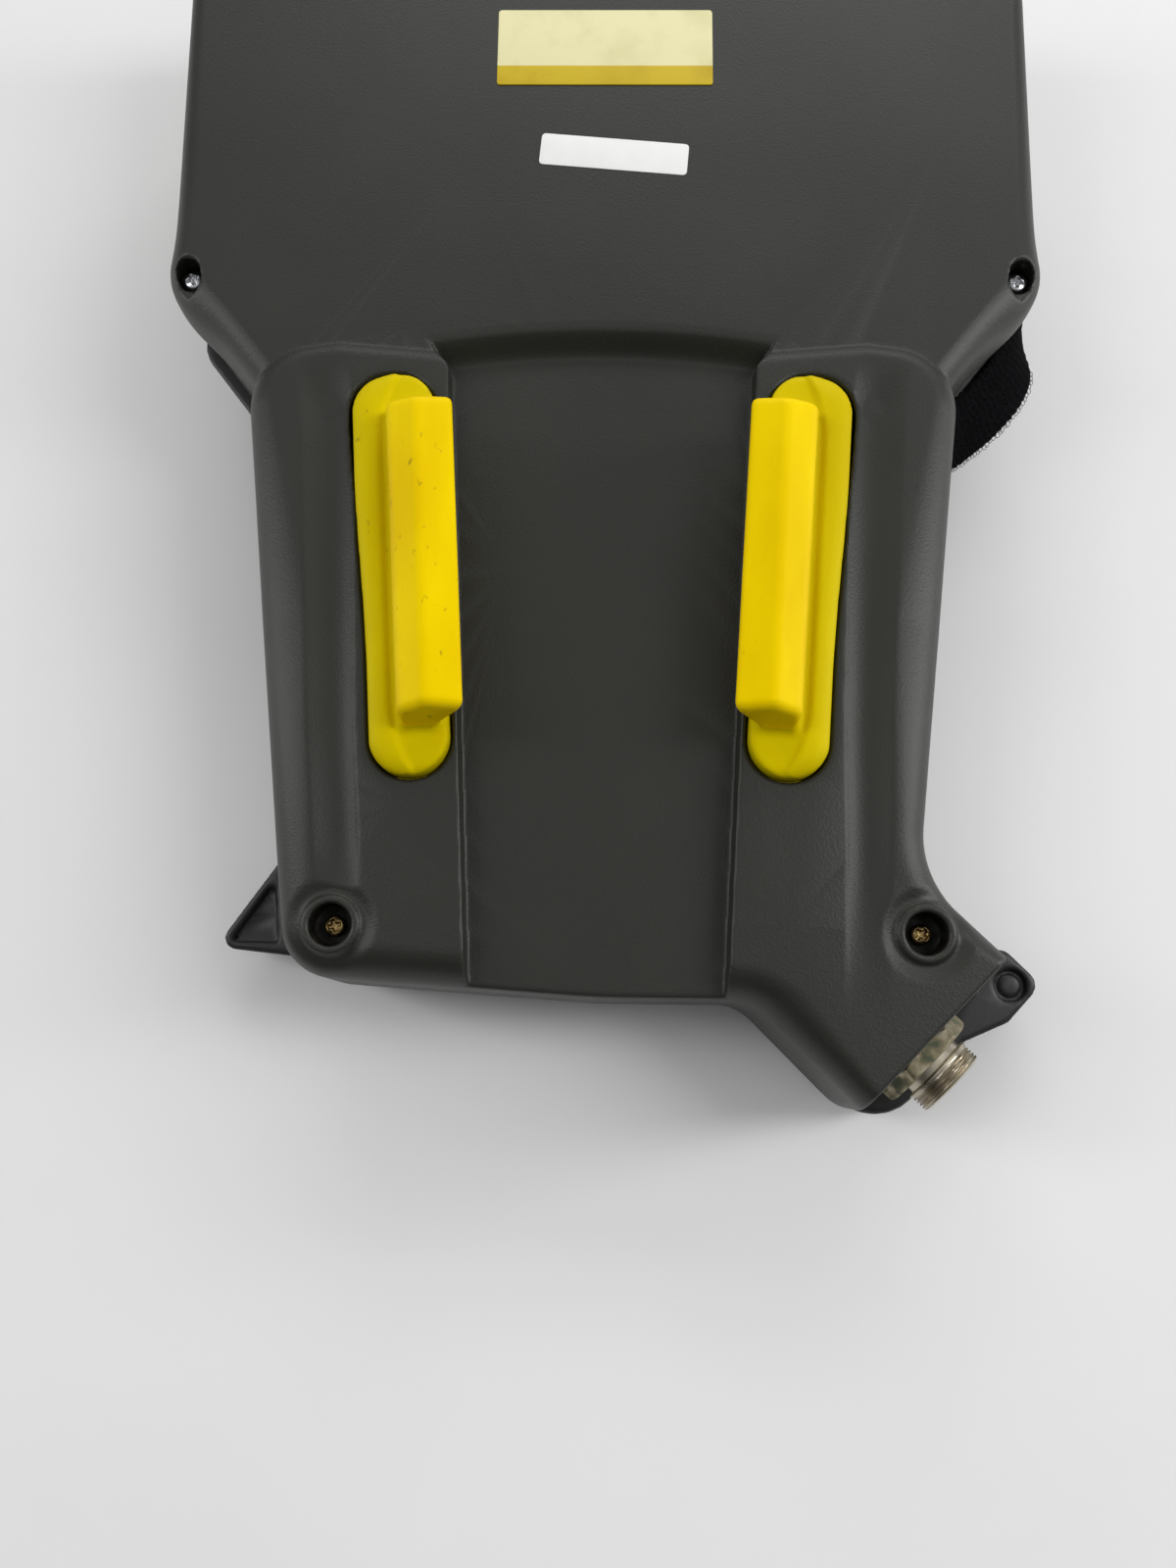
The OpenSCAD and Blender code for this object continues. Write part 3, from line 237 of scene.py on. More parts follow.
def piece(name, parts, sharp=None):
    """Object from parts, each (points in the design frame, faces, material index).

    An edge stays hard where its faces meet at more than sharp degrees."""
    points, faces, slots, start = [], [], [], 0
    for part_points, part_faces, slot in parts:
        points.append(put(part_points))
        faces += [[start + i for i in face] for face in np.asarray(part_faces, object).tolist()]
        slots += [slot] * len(part_faces)
        start += len(part_points)
    mesh = bpy.data.meshes.new(name)
    mesh.from_pydata(np.vstack(points).tolist(), [], faces)
    mesh.polygons.foreach_set("material_index", slots)
    if sharp:
        weld(mesh, outward=True)
    mesh.polygons.foreach_set("use_smooth", np.ones(len(mesh.polygons), bool))
    if sharp:
        mesh.set_sharp_from_angle(angle=math.radians(sharp))
    obj = bpy.data.objects.new(name, mesh)
    bpy.context.scene.collection.objects.link(obj)
    return obj


def weld(mesh, outward=False):
    """Joins points that lie on each other and, if asked for, turns every face outwards."""
    bm = bmesh.new()
    bm.from_mesh(mesh)
    bmesh.ops.remove_doubles(bm, verts=bm.verts, dist=1e-7)
    if outward:
        bmesh.ops.recalc_face_normals(bm, faces=bm.faces)
    bm.to_mesh(mesh)
    bm.free()


def two_tone(name, points, faces, choose):
    """Piece whose second material covers the faces that choose(middles) picks."""
    second = choose(np.array([points[list(face)].mean(0) for face in faces]))
    groups = [[face for face, picked in zip(faces, second) if picked == want] for want in (False, True)]
    obj = piece(name, [(points, group, slot) for slot, group in enumerate(groups)])
    weld(obj.data)
    return obj


# ---- Solids from rings ----

def skinned(rings, closed=False, slot=0):
    """Surface through rings of equal length; it is capped unless the last ring joins the first."""
    n, m = len(rings[0]), len(rings)
    faces = []
    for j in range(m if closed else m - 1):
        a, b = j * n, (j + 1) % m * n
        faces += [[a + i, b + i, b + (i + 1) % n, a + (i + 1) % n] for i in range(n)]
    if not closed:
        faces += [list(range(n)), [(m - 1) * n + i for i in reversed(range(n))]]
    return np.vstack(rings), faces, slot


def turned(profile, n=96, closed=False, thread=None, ribs=None, slot=0):
    """Turned solid on the Z axis from (radius, height) pairs.

    thread is (start, end, pitch, depth) and ribs is (start, end, count, depth) of the rim."""
    a = np.arange(n) * 2 * math.pi / n
    rings = []
    for r, z in profile:
        out = np.full(n, float(r))
        if thread and thread[0] <= z <= thread[1]:
            fade = min(1, (z - thread[0]) / thread[2], (thread[1] - z) / thread[2])
            out -= thread[3] * fade * (0.5 - 0.5 * np.cos(2 * math.pi * z / thread[2] - a))
        if ribs and ribs[0] <= z <= ribs[1]:
            out -= ribs[3] * (0.5 - 0.5 * np.cos(ribs[2] * a)) * min(1, 2 * (z - ribs[0]), 2 * (ribs[1] - z))
        rings.append(np.column_stack([out * np.cos(a), out * np.sin(a), np.full(n, z)]))
    return skinned(rings, closed, slot)


def plate_ring(size, r, z, n=6):
    """Rounded rectangle at height z."""
    w, h = size[0] / 2 - r, size[1] / 2 - r
    a = np.linspace(0, math.pi / 2, n)
    ring = []
    for k, (sx, sy) in enumerate(((1, 1), (-1, 1), (-1, -1), (1, -1))):
        b = a + k * math.pi / 2
        ring.append(np.column_stack([sx * w + r * np.cos(b), sy * h + r * np.sin(b), np.full(n, z)]))
    return np.vstack(ring)


def slab(at, size, r, z0, z1, edge, slot=0, turn=0.0):
    """Rounded plate from z0 to z1 whose edge at z1 is rounded."""
    up = math.copysign(1, z1 - z0)
    rings = [plate_ring(size, r, z0)]
    for k in range(5):
        a = math.pi / 8 * k
        inset = edge * (1 - math.cos(a))
        shrunk = (size[0] - 2 * inset, size[1] - 2 * inset)
        rings.append(plate_ring(shrunk, max(r - inset, 0.05), z1 - up * edge * (1 - math.sin(a))))
    points, faces, _ = skinned(rings)
    c, s = math.cos(turn), math.sin(turn)
    x, y = points[:, 0], points[:, 1]
    points = np.column_stack([x * c - y * s + at[0], x * s + y * c + at[1], points[:, 2]])
    return points, faces, slot


def moved(part, place):
    """A part carried by place(points)."""
    return place(part[0]), part[1], part[2]


# ---- The housing's lines, as in the construction ----

HEAD_W, HEAD_LOW_W, NECK_L = 256, 253, 203
FOOT_HALF, GRIP_TILT = 82.4, math.tan(math.radians(7.1))
CHANNEL_HALF, CHANNEL_TILT = 33, math.tan(math.radians(3.3))
CREASE_HALF, CREASE_TILT = 60.4, math.tan(math.radians(3))
LOBE_REACH, LOBE_MID, LOBE_W = 73, 54, 57.6
LOBE_LOW, LOBE_HIGH = LOBE_MID - LOBE_W / 2, LOBE_MID + LOBE_W / 2
FOOT_Y, ELBOW_Y = 1.5, -4
END_FACE, END_TILT = LOBE_REACH - DRAFT, math.radians(11)
GUARD_REACH, GUARD_R = LOBE_REACH + 10.8, 15
CONNECTOR_MID, CONNECTOR_H, CONNECTOR_BORE_R = 50, 15, 10.2
ARCH_Y, BEND_Y = NECK_L - 23, 96  # top of the channel; where the grips' rounding changes
STRAP_ENDS = ((NECK_L + 34, 50), (50, 35))  # Y and Z of the strap's screws
STRAP_BOSS_R, STRAP_BOSS_L = 3.5, 11
PILOT_R, PILOT_L = 1.3, 10


def along(a, b):
    """Outlet coordinates to X and Y."""
    return (a + b) / math.sqrt(2), (b - a) / math.sqrt(2)


def grip_x(y):
    return FOOT_HALF + y * GRIP_TILT


def mirrored(corners):
    """The same corners on the other side of the middle line, in their order round the outline."""
    return [(-x, *rest) for x, *rest in reversed(corners)]


def head_outline(drop, grow, slope, side):
    """The head's line; slope and side are the rounding's widths on the diagonals and on the long sides."""
    half, neck_y = HEAD_LOW_W / 2 + grow, NECK_L - drop
    right = [(half - 42, neck_y - 54, 14, slope), (half, neck_y, 12, side + 2.5),
             (HEAD_W / 2, HOUSING_L, 22, side)]
    return Outline(right + mirrored(right))


def body_outline(widths):
    """The body's line; widths are the rounding's on the grips, their low end, the outlet and the top."""
    grip_top, grip_low, lobe, crest = widths
    neck_y = (LOBE_HIGH * math.sqrt(2) - FOOT_HALF) / (1 + GRIP_TILT)
    top = [(grip_x(BEND_Y) + 0.1, BEND_Y, 6, grip_top), (grip_x(ARCH_Y) - 0.6, ARCH_Y, 21, crest),
           (74, NECK_L - 18.6, 12, crest)]
    return Outline(top + [(0, NECK_L - 25, 60, crest)] + mirrored(top) + [
        (-grip_x(FOOT_Y), FOOT_Y, 16, grip_low), (0, ELBOW_Y, 260, grip_low),
        (LOBE_LOW * math.sqrt(2) - ELBOW_Y, ELBOW_Y, 14, grip_low),
        (*along(LOBE_REACH + 2.5, LOBE_LOW), 9, lobe), (*along(LOBE_REACH + 2.5, LOBE_HIGH), 8, lobe - 1),
        (grip_x(neck_y), neck_y, 24, grip_low - 1)])


BOSS_D, BOSS_BORE, CORNER_BORE, SCREW_HOLE_R = 15.4, 10.8, 7.6, 1.7
POST_R, POST_HOLE_R = 4.5, 1.26
ABOVE = 99  # past every face of the housing
GAP = 0.5  # between a pad and its opening
PILLAR_OUT, PILLAR_R = 8, 4  # posts beyond a pad's ends
BOSSES = [(14.8 - grip_x(FOOT_Y), FOOT_Y + 14), along(LOBE_REACH - 24.6, LOBE_HIGH - 13.5)]
CORNERS = [(side * x, y) for x, y in ((HEAD_LOW_W / 2 - 7.2, NECK_L - 1.3), (HEAD_W / 2 - 14, HOUSING_L - 14))
           for side in (-1, 1)]
SCREW_HEAD_Z = Z_GRIP - 7
CORNER_HEAD_Z = Z_BACK - 7.3
LEVER_AT, LEVER_TILT = (52.8, 110.1), math.radians(4.3)
PAD_L, PAD_W, PAD_SWELL = 113, 21, 1.8
TRAY_Z = Z_PART + 9


def lever_place(f, side):
    """Coordinates across and along the lever on that side."""
    x, y = side * f.x - LEVER_AT[0], f.y - LEVER_AT[1]
    c, s = math.cos(LEVER_TILT), math.sin(LEVER_TILT)
    return x * c - y * s, x * s + y * c


def pad_line(u, v, grow):
    """Distance to the pad's outline, which swells smoothly towards its outer upper third."""
    reach = (PAD_L - PAD_W) / 2
    swell = PAD_SWELL * step01(-26, 30, v) * step01(-4, 8, u)
    return np.hypot(u - swell, v - np.clip(v, -reach, reach)) - PAD_W / 2 - grow


# ---- Covers ----

def channel_cut(f):
    """The channel between the grips, with the soft ramp of the arch at its top."""
    flare_l, flare_w, ramp, rise = 9, 6, 8, 4.5
    spike_x = CHANNEL_HALF + ARCH_Y * CHANNEL_TILT + flare_w
    straight = CHANNEL_HALF + f.y * CHANNEL_TILT
    flare = np.clip((f.y - ARCH_Y + flare_l) / flare_l, 0, 1.6)
    start = CHANNEL_HALF + (ARCH_Y - flare_l) * CHANNEL_TILT
    edge = np.where(flare > 0, start + (spike_x - start) * flare, straight)
    side = (np.abs(f.x) - edge) * 0.9
    arch = ARCH_Y + rise * (1 - np.clip(f.x / spike_x, -1.3, 1.3) ** 2)
    s = np.clip((arch - f.y) / ramp, 0, 1)
    floor = Z_CHANNEL + (Z_BACK - Z_CHANNEL) * (1 + np.cos(math.pi * s)) / 2
    slope = (Z_BACK - Z_CHANNEL) / ramp * math.pi / 2 * np.sin(math.pi * s)
    cut = both(side, (floor - f.z) / np.sqrt(1 + slope ** 2), 0.4)
    return np.maximum(cut, f.y - arch)


def finger_relief(f):
    """Depth of the valley outside the crease and of the hollows round the bosses.

    On the right, along the outlet, the valley and the crease's bead reach further down."""
    valley_depth, valley_w, valley_low = 1.8, 15, 0.78
    bead_h, bead_outlet, bead_off = 0.32, 0.2, 0.7
    hollow, hollow_r, hollow_end = 1.1, 8.5, 12.5
    right = f.x > 0
    y = np.clip(f.y, -10, 200)
    crease = CREASE_HALF + y * CREASE_TILT + 0.0032 * np.maximum(y - 151, 0) ** 2
    crease = crease + 1.2 * np.sign(f.x) * (1 - step01(30, 75, f.y))
    width = valley_w * (valley_low + (1 - valley_low) * np.clip((y - 20) / 145, 0, 1))
    across = np.clip((np.abs(f.x) - crease) / width, 0, 1)
    fade = np.where(right, 0.25 + 0.75 * step01(2, 42, f.y), 1) * step01(16, 40, f.y + 26 * right)
    valley = valley_depth * np.sin(math.pi * across ** 0.75) * fade
    bead = np.exp(-(np.abs(f.x) - crease + bead_off) ** 2) * step01(12, 24, f.y + 23 * right)
    bead = (bead_h + bead_outlet * right * (1 - step01(5, 40, f.y))) * bead
    relief = (valley - bead) * (1 - step01(158, 176, f.y))
    for at in BOSSES:
        r = np.hypot(f.x - at[0], f.y - at[1])
        relief = np.maximum(relief, hollow * (1 - step01(hollow_r, hollow_end, r)))
    return relief


def housing_core(f, inset):
    """Head, grips and channel without the small features."""
    bulge, bulge_r, bulge_x, bulge_y = 3.4, 15, HEAD_LOW_W / 2 - 2, NECK_L - 9
    depth_head, width_head = head_outline(0, 0, 7, 5.5).depth(f)
    reach = np.hypot(np.abs(f.x) - bulge_x, f.y - bulge_y) / bulge_r
    swell = bulge * np.exp(-reach ** 2) * step01(Z_PART + 4, Z_PART + 22, f.z)
    swell = swell * (1 - 0.6 * step01(Z_BACK - 12, Z_BACK, f.z))
    depth_head = depth_head + swell + 0.6 * step01(Z_PART + 4, Z_BACK - 12, f.z)
    depth_body, width_body = body_outline((16, 10, 6, 9)).depth(f)
    head = rolled(depth_head, f.z, Z_PART - inset, Z_BACK, width_head * 1.15 + 0.6, width_head, DRAFT)
    relief = 0 if inset else finger_relief(f)
    grips = rolled(depth_body, f.z + relief, Z_PART - inset, Z_GRIP, EDGE_RISE, width_body, DRAFT)
    shape = minus(union(head, grips), channel_cut(f), 0.7)
    floor = rolled(depth_body, f.z, Z_PART - inset, Z_CHANNEL, EDGE_RISE - 2, width_body, DRAFT)
    return union(shape, floor)


def from_connector(f):
    """Distances from the connector's middle on the end face: along the outlet, across it and up."""
    a = (f.x - f.y) / math.sqrt(2) - END_FACE
    return a, (f.x + f.y) / math.sqrt(2) - CONNECTOR_MID, f.z - Z_PART - CONNECTOR_H


def past_end(f):
    """Distance beyond the outlet's tilted end wall."""
    a, _, up = from_connector(f)
    return a * math.cos(END_TILT) + up * math.sin(END_TILT)


def connector_bore(f, r):
    """Cylinder of radius r on the connector's axis."""
    a, b, up = from_connector(f)
    return np.hypot(b, up * math.cos(END_TILT) - a * math.sin(END_TILT)) - r


def strap_screws_at():
    """Places of the strap's screws on the side walls, each with the direction out of the wall."""
    (upper_y, upper_z), (lower_y, lower_z) = STRAP_ENDS
    flank = (HEAD_W - HEAD_LOW_W) / 2 / (HOUSING_L - NECK_L)
    upper, lower = math.atan(flank), math.atan(GRIP_TILT)
    head_x = HEAD_LOW_W / 2 + (upper_y - NECK_L) * flank
    return [((head_x, upper_y, upper_z), (math.cos(upper), -math.sin(upper), 0)),
            ((grip_x(lower_y), lower_y, lower_z), (math.cos(lower), -math.sin(lower), 0))]


def strap_boss(f, place, r, depth):
    """Cylinder that runs inwards from a strap screw's place."""
    at, out = place
    x, y, z = f.x - at[0], f.y - at[1], f.z - at[2]
    reach = x * out[0] + y * out[1]
    across = np.sqrt((x - reach * out[0]) ** 2 + (y - reach * out[1]) ** 2 + z * z)
    return np.maximum(across - r, -reach - depth)


def build_rear_cover():
    lo, hi = low("rear_cover") - ORIGIN, high("rear_cover") - ORIGIN
    f = Field(lo - 2, hi + 2, 0.7)
    skin = housing_core(f, 0)
    hollow = housing_core(f, WALL) + WALL
    hollow = minus(hollow, rods(f, CORNERS, CORNER_BORE / 2 + 1.7, 0, ABOVE))
    hollow = minus(hollow, rods(f, BOSSES, BOSS_D / 2, 0, ABOVE))
    for at in BOSSES:
        ring = rod(f, at, BOSS_D / 2, Z_PART, Z_GRIP + 0.3, 1.6)
        skin = union(skin, both(ring, Z_GRIP - 9 - f.z), 0.8)
    end = past_end(f)
    hollow = both(hollow, end + WALL)
    shape = minus(both(skin, end, 0.8), rear_posts(f, hollow))
    for side in (-1, 1):
        u, v = lever_place(f, side)
        gape = step01(18, 45, v)
        hole = union(pad_line(u, v, GAP), pad_line(u - 0.9 * gape, v - 1.3 * gape, GAP))
        shape = minus(shape, np.maximum(hole, TRAY_Z - f.z), 1.4)
    shape = screw_wells(f, shape)
    for place in strap_screws_at():
        shape = minus(shape, strap_boss(f, place, PILOT_R, PILOT_L))
    shape = minus(shape, both(connector_bore(f, CONNECTOR_BORE_R), -end - WALL - 4))

    # Faces inside the screw bores, below their mouths, take the second, near-black material: painted shade in
    # the bores.
    def in_bore(middles):
        shaded = np.zeros(len(middles), bool)
        wells = [(at, CORNER_BORE / 2, Z_BACK - 1.2) for at in CORNERS]
        for at, r, top in wells + [(at, BOSS_BORE / 2, Z_GRIP - 0.6) for at in BOSSES]:
            near = np.hypot(middles[:, 0] - at[0], middles[:, 1] - at[1]) < r + 0.25
            shaded |= near & (middles[:, 2] < top)
        return shaded

    cover = two_tone("rear_cover_moulding", *skin_of(f, shape, 170000), in_bore)
    finish(cover, "rear_cover", grain_plastic(), others=[plain("bore_shade")])


def rear_posts(f, hollow):
    """Leaves the levers' pivot posts and the strap's screw bosses standing in the hollow."""
    for side in (-1, 1):
        u, v = lever_place(f, side)
        for post in (-1, 1):
            pillar = np.hypot(u, v - post * (PAD_L / 2 + PILLAR_OUT)) - PILLAR_R
            hollow = minus(hollow, np.maximum(pillar, TRAY_Z - f.z))
    for place in strap_screws_at():
        hollow = minus(hollow, strap_boss(f, place, STRAP_BOSS_R, STRAP_BOSS_L))
    return hollow


def screw_wells(f, shape):
    """Sinks the wells of the corner and boss screws; the lower corners' wells are long at their mouths."""
    shape = minus(shape, rods(f, CORNERS, CORNER_BORE / 2, CORNER_HEAD_Z, ABOVE), 0.6)
    mouths = [(x * 0.994, y - 2.6) for x, y in CORNERS[:2]]
    shape = minus(shape, rods(f, mouths, CORNER_BORE / 2 - 0.2, CORNER_HEAD_Z + 2.2, ABOVE), 1)
    shape = minus(shape, rods(f, BOSSES, BOSS_BORE / 2, SCREW_HEAD_Z, ABOVE), 1.2)
    return minus(shape, rods(f, CORNERS + BOSSES, SCREW_HOLE_R, 0, ABOVE))


EAR_LEFT = [(-28.4, 9.5), (2.5, 6.3), (2.5, 38.5), (-9.2, 37.5)]
EAR_LEFT_RECESS = [(-24, 11.2), (-10, 10.8), (-11.6, 26.6), (-13.4, 27)]
EAR_RIGHT = [(-6.5, -21.5), (7.6, -15.4), (17.8, -4.6), (7.5, 5.6), (-1.2, 3.6), (-13.7, -3.4)]
EAR_T, EAR_TOP = 8, Z_RIM - 1.2
FOOT_CORNER = np.array([-grip_x(FOOT_Y), FOOT_Y])
OUTLET_CORNER = np.array(along(LOBE_REACH - 0.7, LOBE_HIGH))
ESTOP_AT = (-HEAD_W / 2 + 27, HOUSING_L - 52)
SELECTOR_AT = (HEAD_W / 2 - 27, HOUSING_L - 34)
WINDOW, WINDOW_AT = (138, 106), (0, HOUSING_L - 18 - 53)
KEYS, KEYS_AT = (124, 152), (0, 82)
ROW, ROW_AT = (138, 14), (0, WINDOW_AT[1] - 53 - 14)
PLATE_AT, STICKER_AT = (0, 274.6), (2.9, 238.7)


def prism(f, corners, origin, r, z0, z1, edge=1.2):
    """Upright prism with rounded corners and softened edges; r is one radius or one for each corner."""
    radii = r if hasattr(r, "__len__") else [r] * len(corners)
    line = Outline([(origin[0] + x, origin[1] + y, q, 0) for (x, y), q in zip(corners, radii)], 6)
    depth, _ = line.depth(f)
    return both(both(-depth, f.z - z1, edge), z0 - f.z, edge)


def guard(f):
    """The front cover's tongue under the connector."""
    start = LOBE_REACH - 14
    corners = [(GUARD_REACH, LOBE_LOW + 2), (GUARD_REACH, LOBE_HIGH - 12), (LOBE_REACH - 4, LOBE_HIGH - 4),
               (start, LOBE_HIGH - 4), (start, LOBE_LOW + 2)]
    radii = (GUARD_R, 4, 3, 1, 1)
    return prism(f, [along(*c) for c in corners], (0, 0), radii, EAR_TOP - EAR_T, EAR_TOP, 2.5)


def opening(f, at, size, r, z0, z1):
    """Rounded rectangular hole."""
    x, y = np.abs(f.x - at[0]) - size[0] / 2 + r, np.abs(f.y - at[1]) - size[1] / 2 + r
    flat = np.hypot(np.maximum(x, 0), np.maximum(y, 0)) + np.minimum(np.maximum(x, y), 0) - r
    return np.maximum(flat, np.abs(f.z - (z0 + z1) / 2) - (z1 - z0) / 2)


def build_front_cover():
    lo, hi = low("front_cover") - ORIGIN, high("front_cover") - ORIGIN
    f = Field(lo - 2, hi + 2, 0.8)
    depth_head, width_head = head_outline(5, 0.5, 6, 6).depth(f)
    depth_body, width_body = body_outline((6, 6, 6, 6)).depth(f)
    down = Z_RIM - f.z
    tall = Z_RIM - Z_FACE
    skin = union(rolled(depth_head, down, 0, tall, 6, width_head, 0.6),
                 rolled(depth_body, down, 0, tall, 6, width_body, 0.6))
    ear_low = EAR_TOP - EAR_T
    skin = union(skin, prism(f, EAR_LEFT, FOOT_CORNER, (3.4, 0.5, 0.5, 0.5), ear_low, EAR_TOP))
    skin = union(skin, prism(f, EAR_RIGHT, OUTLET_CORNER, (2, 3, 4.5, 4.5, 3, 1), ear_low, EAR_TOP))
    skin = union(skin, guard(f))
    inner = np.maximum(head_outline(0, 0, 6, 6).depth(f)[0], depth_body) - WALL
    hollow = np.maximum(-inner, Z_FACE + WALL - f.z)
    hollow = minus(hollow, rods(f, CORNERS + BOSSES, POST_R, 0, ABOVE))
    stud_x, stud_y, stud_r, stud_h = WINDOW[0] / 2 + 8, WINDOW[1] / 2 + 4, 3.5, 7.4
    studs = [(x * stud_x, WINDOW_AT[1] + y * stud_y) for x in (-1, 1) for y in (-1, 1)]
    hollow = minus(hollow, rods(f, studs, stud_r, 0, Z_FACE + WALL + stud_h))
    lower_screw = strap_screws_at()[1]
    hollow = minus(hollow, strap_boss(f, lower_screw, STRAP_BOSS_R, STRAP_BOSS_L))
    shape = minus(skin, hollow)
    shape = minus(shape, strap_boss(f, lower_screw, PILOT_R, PILOT_L))
    shape = minus(shape, rods(f, CORNERS + BOSSES, POST_HOLE_R, Z_FACE + WALL, ABOVE))
    shape = face_openings(f, shape)
    shape = minus(shape, prism(f, EAR_LEFT_RECESS, FOOT_CORNER, 0.8, EAR_TOP - 1.6, EAR_TOP + 3, 0.4), 0.5)
    disc, recess_r, disc_r = OUTLET_CORNER + (8.7, -5), 4.5, 3.2
    shape = minus(shape, rod(f, disc, recess_r, EAR_TOP - 2.2, EAR_TOP + 3), 0.6)
    shape = union(shape, rod(f, disc, disc_r, EAR_TOP - 4, EAR_TOP - 1), 0.6)
    cover = piece("front_cover_moulding", [(*skin_of(f, shape, 90000), 0)])
    finish(cover, "front_cover", plain("black_plastic"))


def face_openings(f, shape):
    """Sinks and cuts the places of the display, the two key sheets, the emergency stop and the selector."""
    out = Z_FACE - 3
    sheets = ((WINDOW_AT, WINDOW, 2.2, 3, 4), (KEYS_AT, KEYS, 1, 5, 4), (ROW_AT, ROW, 1, 2.5, 2))
    for at, size, sunk, margin, r in sheets:
        through = (size[0] - 2 * margin, size[1] - 2 * margin)
        shape = minus(shape, opening(f, at, (size[0] + 0.2, size[1] + 0.2), r, out, Z_FACE + sunk))
        shape = minus(shape, opening(f, at, through, r - 1, out, Z_FACE + WALL + 1))
    shape = minus(shape, rod(f, ESTOP_AT, 11.15, out, Z_FACE + 7))
    return minus(shape, rod(f, SELECTOR_AT, 8.2, out, Z_FACE + 7))


# ---- Enabling levers ----

def build_levers():
    f = Field((-19, -60, Z_GRIP - 15), (15, 60, Z_GRIP + 18.5), 0.5)
    deck, base = Z_GRIP + 4.5, Z_GRIP - 14
    lever = union(lever_pad(f, deck, base), lever_ridge(f, deck, base), 2.2)
    points, faces = skin_of(f, lever, 50000)
    c, s = math.cos(LEVER_TILT), math.sin(LEVER_TILT)
    x = LEVER_AT[0] + points[:, 0] * c + points[:, 1] * s
    y = LEVER_AT[1] - points[:, 0] * s + points[:, 1] * c
    for side, name, stains in ((-1, "left", 1.0), (1, "right", 0.25)):
        placed = np.column_stack([side * x, y, points[:, 2]])
        facing = [list(face)[::side] for face in faces]
        # Faces above the deck take the crest tone: painted light on the ridge, with the pad in painted shade.
        lever = two_tone(f"lever_{name}_moulding", placed, facing, lambda middles: middles[:, 2] > deck + 0.8)
        crest = lever_yellow(name, stains, "crest")
        finish(lever, f"lever_{name}", lever_yellow(name, stains, "pad"), f"lever_{name}", others=[crest])


def lever_pad(f, deck, base):
    """The pad: flat inside, lower in its outer band, rounded at its edge, with end lugs and spring wells."""
    u, v, z = f.x, f.y, f.z
    lug_v, spring_v, spring_r, well = 53.5, 36, 4.6, 8
    line = pad_line(u, v, 0)
    outward = step01(-6, 5, u)
    width, fall = 1.4 + 5.4 * outward, 0.9 + 2.3 * outward
    rim = np.clip(1 + line / width, 0, 1)
    band = 4.6 - 5.2 * np.clip((np.abs(v) - 36) / 19, 0, 1) ** 2
    lowered = 1.2 * (1 - step01(band - 1.1, band + 0.9, u))
    surface = deck - fall * (1 - np.sqrt(np.maximum(1 - rim * rim, 0))) - lowered
    pad = both(both((z - surface) * 0.85, line, 0.4), base - z)
    for side in (-1, 1):
        pad = union(pad, box(f, (0, side * lug_v, Z_GRIP - 4.3), (4, 4, 1), 0.3))
        pad = minus(pad, rod(f, (0.1, side * spring_v - 1.5), spring_r, base - 2, base + well))
    return pad


def lever_ridge(f, deck, base):
    """The ridge: a roof that falls both ways from its crown, undercut inside, with tilted ends."""
    u, v, z = f.x, f.y, f.z
    half_l, top, outer, end_slope = 44.5, Z_GRIP + 17, 1.3, math.radians(13)
    fall_out, fall_in, under_x, under_z = 4, 3, 6.2, 6
    swing = np.clip(v / 44, -1, 1)
    crown, lip = -6.8 - 0.5 * swing, -16.2 - 0.4 * swing
    run_out, run_in = outer - crown, crown - lip
    roof_out = ((z - top + fall_out) * run_out + (u - outer) * fall_out) / np.hypot(run_out, fall_out)
    roof_in = ((z - top + fall_in) * run_in - (u - lip) * fall_in) / np.hypot(run_in, fall_in)
    under = ((u - lip) * -under_x + (z - top + 5) * -under_z) / math.hypot(under_x, under_z)
    ridge = both(roof_out, roof_in, 1.2)
    ridge = both(ridge, u - outer - (top - z) * 0.03, 2.2)
    ridge = both(ridge, lip - u, 1.2)
    ridge = both(ridge, under, 1.4)
    ends = (np.abs(v) - half_l + (z - deck) * math.tan(end_slope)) * math.cos(end_slope)
    return both(both(ridge, ends, 2.4), base + 12 - z)


# ---- Screws ----

def screw_parts(length):
    """Pan-head screw with a cross recess, seated on the origin, as parts."""
    f = Field((-3.1, -3.1, -0.3), (3.1, 3.1, 2.5), 0.11)
    r = np.hypot(f.x, f.y)
    dome = np.sqrt(r * r + (f.z + 2.6) ** 2) - 4.8
    head = both(both(r - 2.75, -f.z, 0.2), dome, 0.5)
    taper = 0.42 + 0.12 * (f.z - 1)
    reach = 1.7 + 0.25 * (f.z - 1.5)
    arms = union(both(np.abs(f.x) - taper, np.abs(f.y) - reach, 0.3),
                 both(np.abs(f.y) - taper, np.abs(f.x) - reach, 0.3))
    cross = both(union(arms, r - 0.75 - 0.2 * (f.z - 1), 0.3), 0.7 - f.z, 0.3)
    head = minus(head, cross, 0.25)
    shank_r, tip = 1.2, 1 - length
    turns = [(shank_r, tip + h) for h in np.arange(0.2, length - 1, 0.1)]
    shank = [(0.02, -length), (shank_r, tip)] + turns + [(shank_r, 0.3), (0.02, 0.3)]
    return [(*skin_of(f, head, 9000), 0), turned(shank, 20, thread=(tip, -0.5, 0.5, 0.18))]


def standing(at, up=(0, 0, 1), spin=0.0):
    """Place function that stands local Z on a direction at a point."""
    z = np.array(up, float) / np.linalg.norm(up)
    x = np.cross((0, 1, 0) if abs(z[1]) < 0.9 else (1, 0, 0), z)
    x /= np.linalg.norm(x)
    y = np.cross(z, x)
    c, s = math.cos(spin), math.sin(spin)
    basis = np.array([x * c + y * s, y * c - x * s, z])
    return lambda points: np.asarray(points) @ basis + np.array(at, float)


def build_screws(node, mat, length, places):
    parts = screw_parts(length)
    placed = [moved(part, place) for place in places for part in parts]
    finish(piece(f"{node}_threaded", placed), node, mat)


